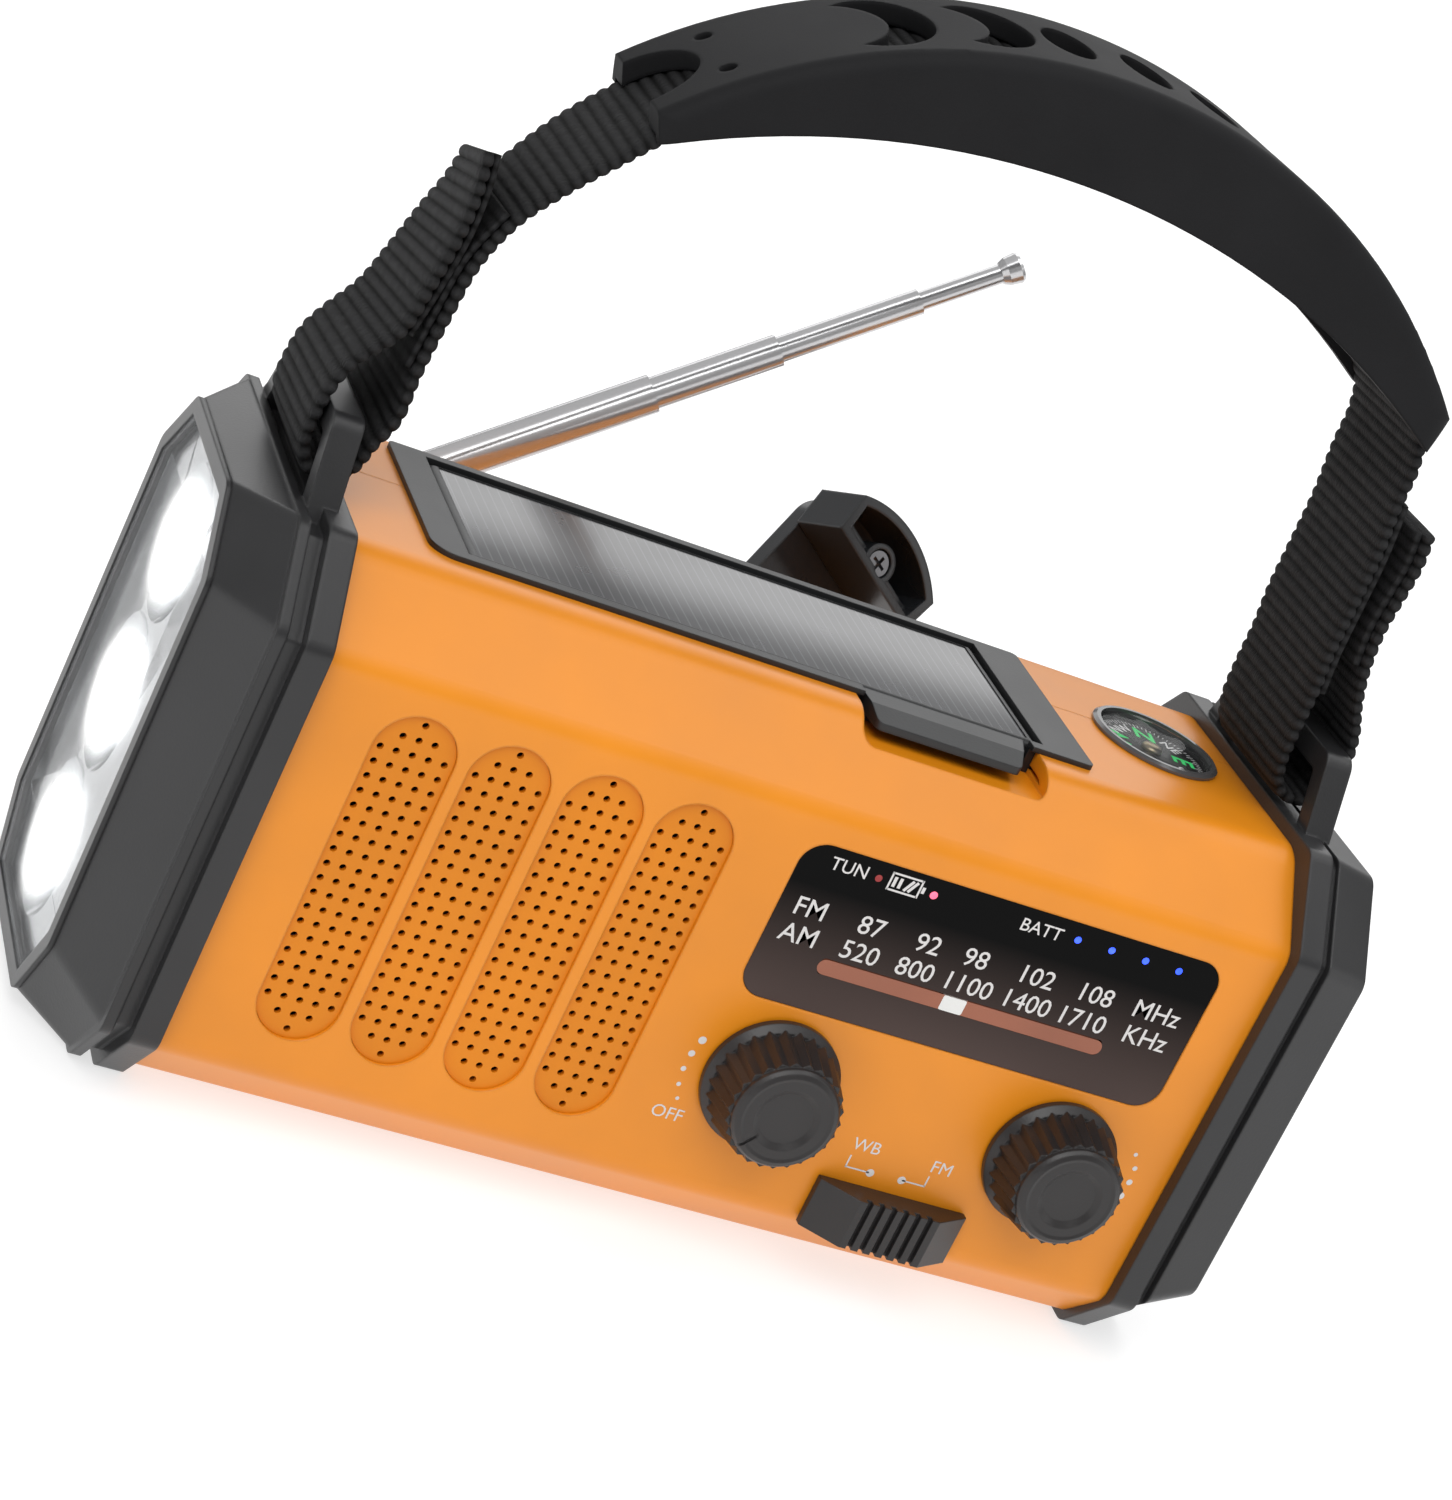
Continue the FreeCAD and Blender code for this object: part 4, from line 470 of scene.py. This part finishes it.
SCALE_TEXT_HEIGHT = 2.9
SMALL_TEXT_HEIGHT = 2.0
WINDOW_TEXT_BOLD = 0.01
SCALE_ROWS = [
    (56.3, [("FM", 3.0), ("87", 12.8), ("92", 22.1), ("98", 30.0), ("102", 40.1), ("108", 50.1),
            ("MHz", 60.7)]),
    (52.0, [("AM", 3.2), ("520", 13.0), ("800", 22.0), ("1100", 30.7), ("1400", 40.5), ("1710", 49.9),
            ("KHz", 60.9)]),
]
window_marks = Marks(on_front(WINDOW_PRINT_Y))
for row_z, entries in SCALE_ROWS:
    for words, x in entries:
        window_marks.text(words, x, row_z, SCALE_TEXT_HEIGHT, bold=WINDOW_TEXT_BOLD)
for words, x, z in (("TUN", 5.6, 63.9), ("BATT", 37.2, 63.6)):
    window_marks.text(words, x, z, SMALL_TEXT_HEIGHT, bold=WINDOW_TEXT_BOLD)

# Battery sign: outline, terminal, two charge bars and a slanted flash.
BATTERY_ICON_X = (12.1, 16.9)
BATTERY_ICON_Z = (62.7, 65.3)
for z in BATTERY_ICON_Z:
    window_marks.stroke(BATTERY_ICON_X[0], z, BATTERY_ICON_X[1], z, 0.3)
for x in BATTERY_ICON_X:
    window_marks.stroke(x, BATTERY_ICON_Z[0] - 0.15, x, BATTERY_ICON_Z[1] + 0.15, 0.3)
window_marks.stroke(17.45, 63.5, 17.45, 64.5, 0.5)
for x in (12.8, 13.7):
    window_marks.stroke(x, 63.2, x, 64.8, 0.5)
for x in (14.6, 15.3):
    window_marks.stroke(x, 63.1, x + 1.0, 64.9, 0.45)
window_marks.piece("window_print", materials["print"], "housing")

# Dots round each knob: x, z, radius.
VOLUME_DOTS = [(-3.0, 32.6, 0.62), (-3.6, 30.2, 0.52), (-3.7, 27.6, 0.42), (-3.3, 25.1, 0.35),
               (-2.5, 22.9, 0.30)]
TUNING_DOTS = [(68.9, 34.0, 0.34), (69.9, 31.8, 0.40), (70.2, 29.4, 0.50), (70.0, 26.9, 0.58)]
# Lead lines from each switch letter down and across to its dot: x0, z0, x1, z1.
LEAD_LINES = [(26.5, 21.6, 26.5, 19.6), (26.4, 19.6, 30.4, 19.6), (39.6, 21.6, 39.6, 19.8),
              (35.9, 19.8, 39.7, 19.8)]
LEAD_WIDTH = 0.25
LEAD_DOTS = [(30.6, 19.6, 0.65), (35.8, 19.8, 0.65)]
shell_marks = Marks(on_front(SHELL_PRINT_Y))
for x, z, radius in VOLUME_DOTS + TUNING_DOTS + LEAD_DOTS:
    shell_marks.disc(x, z, radius)
for words, x, z in (("OFF", -2.9, 20.2), ("WB", 28.2, 23.5), ("FM", 40.9, 23.2)):
    shell_marks.text(words, x, z, SMALL_TEXT_HEIGHT)
for line in LEAD_LINES:
    shell_marks.stroke(*line, LEAD_WIDTH)
shell_marks.piece("shell_print", materials["print"], "housing")

STATUS_Z = 63.8
BLUE_FIRST_X = 43.25
BLUE_PITCH = 5.77
glow_places = [("dim_red", 10.3, 0.55), ("red_glow", 19.25, 0.60)]
glow_places += [("blue_glow", BLUE_FIRST_X + BLUE_PITCH * step, 0.55) for step in range(4)]
for index, (key, x, radius) in enumerate(glow_places):
    spot = Marks(on_front(GLOW_Y))
    spot.disc(x, STATUS_Z, radius, 24)
    spot.piece(f"status_spot_{index + 1}", materials[key], "housing")


# The dial's light bar and pointer show at the window's face, as through its clear strip.
BAR_X = (7.9, 55.2)
BAR_Z = (47.35, 49.75)
BAR_END = 1.2
POINTER_X = (28.1, 31.9)
POINTER_CORNER = 0.3


def rounded_bar(marks, x_range, z_range, radius):
    left, right = x_range
    bottom, top = z_range
    corners = []
    for x, z, first in ((right, top, 0), (left, top, 90), (left, bottom, 180), (right, bottom, 270)):
        centre_x = x - radius if x == right else x + radius
        centre_z = z - radius if z == top else z + radius
        for step in range(9):
            angle = math.radians(first + 90 * step / 8)
            corners.append((centre_x + radius * math.cos(angle), centre_z + radius * math.sin(angle)))
    marks.polygon(corners)


light_bar = Marks(on_front(LIGHT_BAR_Y))
rounded_bar(light_bar, BAR_X, BAR_Z, BAR_END)
light_bar = light_bar.piece("dial_light_bar_face", materials["light_bar"], "housing")
pointer = Marks(on_front(GLOW_Y))
rounded_bar(pointer, POINTER_X, BAR_Z, POINTER_CORNER)
pointer.piece("tuning_pointer_face", materials["white"], "tuning_pointer")

# ---------------------------------------------------------------- compass face

COMPASS = (61.2, 2.3)
CARD_TOP_Z = 81.7


def on_card(lift):
    return lambda u, v: place(COMPASS[0] + u, COMPASS[1] + v, CARD_TOP_Z + lift)


CARD_TURN = math.radians(82)
CARD_TICKS = 72
TICK_OUTER = 8.7
COMPASS_POINTS = ["N", "NE", "E", "SE", "S", "SW", "W", "NW"]
card_white = Marks(on_card(0.03))
card_green = Marks(on_card(0.03))
for step in range(CARD_TICKS):
    angle = 2 * math.pi * step / CARD_TICKS
    inner = 7.9 if step % 3 else 7.4
    card_white.stroke(inner * math.cos(angle), inner * math.sin(angle),
                      TICK_OUTER * math.cos(angle), TICK_OUTER * math.sin(angle), 0.14)
for step, words in enumerate(COMPASS_POINTS):
    angle = CARD_TURN - 2 * math.pi * step / 8
    main = step % 2 == 0
    target = card_green if main else card_white
    reach = 5.3 if main else 6.0
    target.text(words, reach * math.cos(angle), reach * math.sin(angle), 3.5 if main else 2.0,
                angle=angle - math.pi / 2, bold=0.12 if main else 0.04)
card_white.piece("compass_white_print", materials["card_print_glow"], "compass")
card_green.piece("compass_green_print", materials["green_glow_print"], "compass")


TURNED_SEGMENTS = 32


def turned_piece(name, profile, to_space, material, body):
    """Surface of revolution. profile is (radius, place along the axis) pairs; to_space takes two places
    across the axis and one along it."""
    vertices = []
    for radius, along in profile:
        for step in range(TURNED_SEGMENTS):
            angle = 2 * math.pi * step / TURNED_SEGMENTS
            vertices.append(to_space(radius * math.cos(angle), radius * math.sin(angle), along))
    faces = []
    for ring in range(len(profile) - 1):
        first = ring * TURNED_SEGMENTS
        second = first + TURNED_SEGMENTS
        for step in range(TURNED_SEGMENTS):
            following = (step + 1) % TURNED_SEGMENTS
            faces.append([first + step, first + following, second + following, second + step])
    return mesh_object(name, vertices, faces, material, body)


PIVOT_CAP = [(1.7, 81.72), (1.7, 82.1), (1.4, 82.45), (0.6, 82.6), (0.01, 82.65)]
turned_piece("compass_pivot_cap", PIVOT_CAP, lambda u, v, z: place(COMPASS[0] + u, COMPASS[1] + v, z),
             materials["brass"], "compass")

# ---------------------------------------------------------------- lamp light

EMITTER_PROFILE = [(0.01, -85.4), (1.2, -85.2), (2.2, -84.6), (2.9, -83.8), (3.2, -83.2)]
for index, cup_z in enumerate(LAMP_CUPS_Z):
    turned_piece(f"lamp_emitter_{index + 1}", EMITTER_PROFILE,
                 lambda u, v, x, cup_z=cup_z: place(x, u, cup_z + v), materials["lamp_glow"], "housing")


# ---------------------------------------------------------------- strap

ARC_CENTRE = (6.5, 86.9)
WEB_RADIUS = 85.15
RIB_PITCH = 1.9
STEPS_PER_RIB = 8
# Strap centre lines: x, z, then how far the rear edge stands off the centre line in x and in z.
LEFT_FOLD = [(-74.2, 132.6, 2.2, -2.9), (-74.2, 127.5, 1.4, -2.6), (-74.9, 121.9, 0.5, -2.2),
             (-76.2, 114.6, 0, -1.6), (-77.8, 107.5, -0.4, -1.1), (-81.2, 102.2, 0, -1.0)]
LEFT_LOOP = [(-82.9, 98.4, 0, -0.8), (-83.6, 94.0, 0, -0.5), (-83.5, 89.4, 0, -0.3), (-81.6, 86.3, 0, 0),
             (-78.4, 85.8, 0, 0), (-75.9, 88.2, 0, 0), (-74.6, 92.4, 0, 0)]
LEFT_RISE = [(-73.0, 96.5, 0, -0.4), (-72.9, 103.0, 0.2, -0.8), (-72.2, 111.0, 0.4, -1.2),
             (-71.2, 119.0, 0.6, -1.5), (-68.6, 127.0, 0.5, -1.0), (-64.6, 133.8, 0.2, -0.4),
             (-60.0, 140.0, 0, 0)]
RIGHT_FALL = [(70.0, 140.5, 0, 0), (70.5, 134.0, 0, 0), (71.5, 126.0, 0, 0), (71.9, 118.0, 0, 0),
              (72.2, 110.0, 0, 0), (73.0, 103.0, 0, 0)]
RIGHT_LOOP = [(73.3, 96.5, 0, 0), (73.9, 91.0, 0, 0), (75.6, 87.2, 0, 0), (79.0, 86.2, 0, 0),
              (82.2, 88.2, 0, 0), (83.9, 92.6, 0, 0), (83.0, 98.4, 0, 0)]
RIGHT_FOLD = [(80.7, 103.6, 0, 0), (79.0, 109.2, 0, 0), (78.2, 115.4, 0, 0), (78.4, 121.0, 0, 0),
              (78.6, 126.4, 0, 0), (77.9, 131.4, 0, 0)]


def arc_points(first, last, count):
    """Points along the webbing where the grip carries it, from first to last degrees from the vertical."""
    points = []
    for step in range(count):
        angle = math.radians(first + (last - first) * step / (count - 1))
        x = ARC_CENTRE[0] + WEB_RADIUS * math.sin(angle)
        z = ARC_CENTRE[1] + WEB_RADIUS * math.cos(angle)
        points.append((x, z, 0, 0))
    return points


def smooth_path(points, spacing):
    """Catmull-Rom curve through the points, sampled at an even spacing."""
    padded = [points[0]] + list(points) + [points[-1]]
    dense = []
    for index in range(len(points) - 1):
        p0, p1, p2, p3 = [np.array(p, float) for p in padded[index:index + 4]]
        for t in np.linspace(0, 1, 40, endpoint=False):
            dense.append(0.5 * (2 * p1 + (p2 - p0) * t + (2 * p0 - 5 * p1 + 4 * p2 - p3) * t ** 2
                                + (3 * p1 - p0 - 3 * p2 + p3) * t ** 3))
    dense.append(np.array(points[-1], float))
    dense = np.array(dense)
    lengths = np.concatenate([[0], np.cumsum(np.linalg.norm(np.diff(dense[:, :2], axis=0), axis=1))])
    count = max(int(lengths[-1] / spacing), 4)
    where = np.linspace(0, lengths[-1], count)
    return np.stack([np.interp(where, lengths, dense[:, axis]) for axis in range(4)], axis=1), where


def ribbon(name, points, width, thickness, material, rib_depth=0.0, offset=0.0):
    """Flat band along a path in the XZ plane; ribs run across it and scallop its edges."""
    spacing = RIB_PITCH / STEPS_PER_RIB
    samples, along = smooth_path(points, spacing)
    path = samples[:, :2]
    lean = samples[:, 2:]
    tangent = np.gradient(path, axis=0)
    tangent /= np.linalg.norm(tangent, axis=1)[:, None]
    normal = np.stack([-tangent[:, 1], tangent[:, 0]], axis=1)
    path = path + normal * offset
    across = [-1.0, -0.97, -0.90, -0.6, -0.2, 0.2, 0.6, 0.90, 0.97, 1.0]
    vertices = []
    heights = []
    for index in range(len(path)):
        phase = abs(math.sin(math.pi * along[index] / RIB_PITCH))
        swell = rib_depth * (phase ** 0.6)
        half_width = width / 2 - rib_depth * 0.9 + swell * 1.2
        for side, order in ((1, across), (-1, across[::-1])):
            for a in order:
                rounding = math.sqrt(max(1 - abs(a) ** 14, 0.0)) if abs(a) < 1 else 0.35
                lift = side * (thickness / 2 - rib_depth * 0.5 + swell) * (0.35 + 0.65 * rounding)
                x, z = path[index] + lean[index] * a + normal[index] * lift
                vertices.append(place(x, a * half_width, z))
                heights.append(phase)
    ring = 2 * len(across)
    faces = []
    for index in range(len(path) - 1):
        for step in range(ring):
            following = (step + 1) % ring
            faces.append([index * ring + step, index * ring + following,
                          (index + 1) * ring + following, (index + 1) * ring + step])
    faces.append(list(range(ring))[::-1])
    faces.append([(len(path) - 1) * ring + step for step in range(ring)])
    band = mesh_object(name, vertices, faces, material, None)
    # The rib phase of each point, which the woven material turns into painted shade and highlight.
    if len(band.data.vertices) == len(heights):
        band.data.attributes.new("rib", "FLOAT", "POINT").data.foreach_set("value", heights)
    return band


STRAP_WIDTH = 25.0
STRAP_THICKNESS = 1.7
PATCH_WIDTH = 23.4
STRAP_PATH = (LEFT_FOLD + LEFT_LOOP + LEFT_RISE + arc_points(-46, 46, 16) + RIGHT_FALL + RIGHT_LOOP
              + RIGHT_FOLD)
# Fastener patches: name, path, thickness, how far they stand off the webbing's centre line.
PATCHES = [
    ("fastener_pile_left", LEFT_FOLD[:5], 1.2, 1.45),
    ("fastener_hook_left", LEFT_RISE[1:5], 1.2, 1.45),
    ("fastener_hook_right", RIGHT_FALL[1:6], 1.5, 1.6),
    ("fastener_pile_right", RIGHT_FOLD[1:], 1.5, 1.6),
]
strap = ribbon("strap_woven", STRAP_PATH, STRAP_WIDTH, STRAP_THICKNESS, materials["webbing"], rib_depth=0.42)
patches = [ribbon(name, path, PATCH_WIDTH, thickness, materials["pile"], offset=offset)
           for name, path, thickness, offset in PATCHES]
for band in [strap] + patches:
    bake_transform(band)
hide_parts("strap_webbing", "strap_loop_left", "strap_loop_right")


# ---------------------------------------------------------------- floor, light and camera

def area_light(name, centre, target, size, power):
    data = bpy.data.lights.new(name, "AREA")
    data.shape = "RECTANGLE"
    data.size, data.size_y = size
    data.energy = power
    light = bpy.data.objects.new(name, data)
    light.location = centre
    light.rotation_euler = (Vector(target) - Vector(centre)).to_track_quat("-Z", "Y").to_euler()
    bpy.context.scene.collection.objects.link(light)
    return light


floor_material = moulded("floor_paint", (0.42, 0.42, 0.42), 0.8, 0.01, grain=0.02,
                         sockets={"Specular IOR Level": 0.1, "Emission Color": (1, 1, 1, 1),
                                  "Emission Strength": 0.68})
FLOOR_HALF = 6.0
floor_corners = [Vector((x, y, 0)) for x, y in ((-1, -1), (1, -1), (1, 1), (-1, 1))]
floor = mesh_object("floor", floor_corners, [[0, 1, 2, 3]], floor_material, None, smooth=False)
floor.scale = (FLOOR_HALF, FLOOR_HALF, 1)

MIDDLE = (0.0, 0.0, 0.07)
# Area lights: name, centre, size, power in watts.
AREA_LIGHTS = [
    ("key_light", (-0.55, -0.75, 0.95), (0.6, 0.6), 1.7),
    ("left_light", (-1.1, -0.3, 0.5), (0.4, 0.9), 1.0),
    ("right_light", (1.0, -0.6, 0.5), (0.4, 0.9), 1.3),
    ("top_light", (0.45, -0.05, 1.1), (0.9, 0.35), 2.2),
    ("rear_light", (0.35, 1.15, 0.75), (1.5, 0.9), 5.0),
]
for name, centre, size, power in AREA_LIGHTS:
    area_light(name, centre, MIDDLE, size, power)
sun_data = bpy.data.lights.new("soft_sun", "SUN")
sun_data.energy = 1.15
sun_data.angle = math.radians(50)
sun = bpy.data.objects.new("soft_sun", sun_data)
sun.rotation_euler = Vector((0.30, 0.62, -1.0)).to_track_quat("-Z", "Y").to_euler()
bpy.context.scene.collection.objects.link(sun)

world = bpy.data.worlds.new("studio")
world.use_nodes = True
sky = world.node_tree
sky_coordinates = sky.nodes.new("ShaderNodeTexCoord")
sky_axes = sky.nodes.new("ShaderNodeSeparateXYZ")
link(sky, sky_coordinates.outputs["Generated"], sky_axes.inputs["Vector"])
link(sky, ramp_between(sky, sky_axes.outputs["Z"], (0.45, 0.45, 0.45), (1, 1, 1), 0.05, 0.75),
     sky.nodes["Background"].inputs["Color"])
sky.nodes["Background"].inputs["Strength"].default_value = 0.55
bpy.context.scene.world = world
bpy.context.scene.view_settings.view_transform = "Standard"

camera_data = bpy.data.cameras.new("camera")
camera_data.sensor_width = 36.0
camera_data.lens = 94.875
camera_data.shift_x = -0.07443
camera_data.shift_y = -0.0509
camera_data.clip_start = 0.05
camera_data.clip_end = 30.0
camera = bpy.data.objects.new("camera", camera_data)
# The camera's own axes; it is rolled, so that the level radio looks tilted.
RIGHT = Vector((0.868, -0.260, 0.423)).normalized()
BACK = Vector((-0.404, -0.865, 0.297))
BACK = (BACK - RIGHT * BACK.dot(RIGHT)).normalized()
UP = BACK.cross(RIGHT)
CAMERA_PLACE = place(-225.6, -499.1, 249.6)
camera.matrix_world = Matrix.Translation(CAMERA_PLACE) @ Matrix((RIGHT, UP, BACK)).transposed().to_4x4()
bpy.context.scene.collection.objects.link(camera)
bpy.context.scene.camera = camera
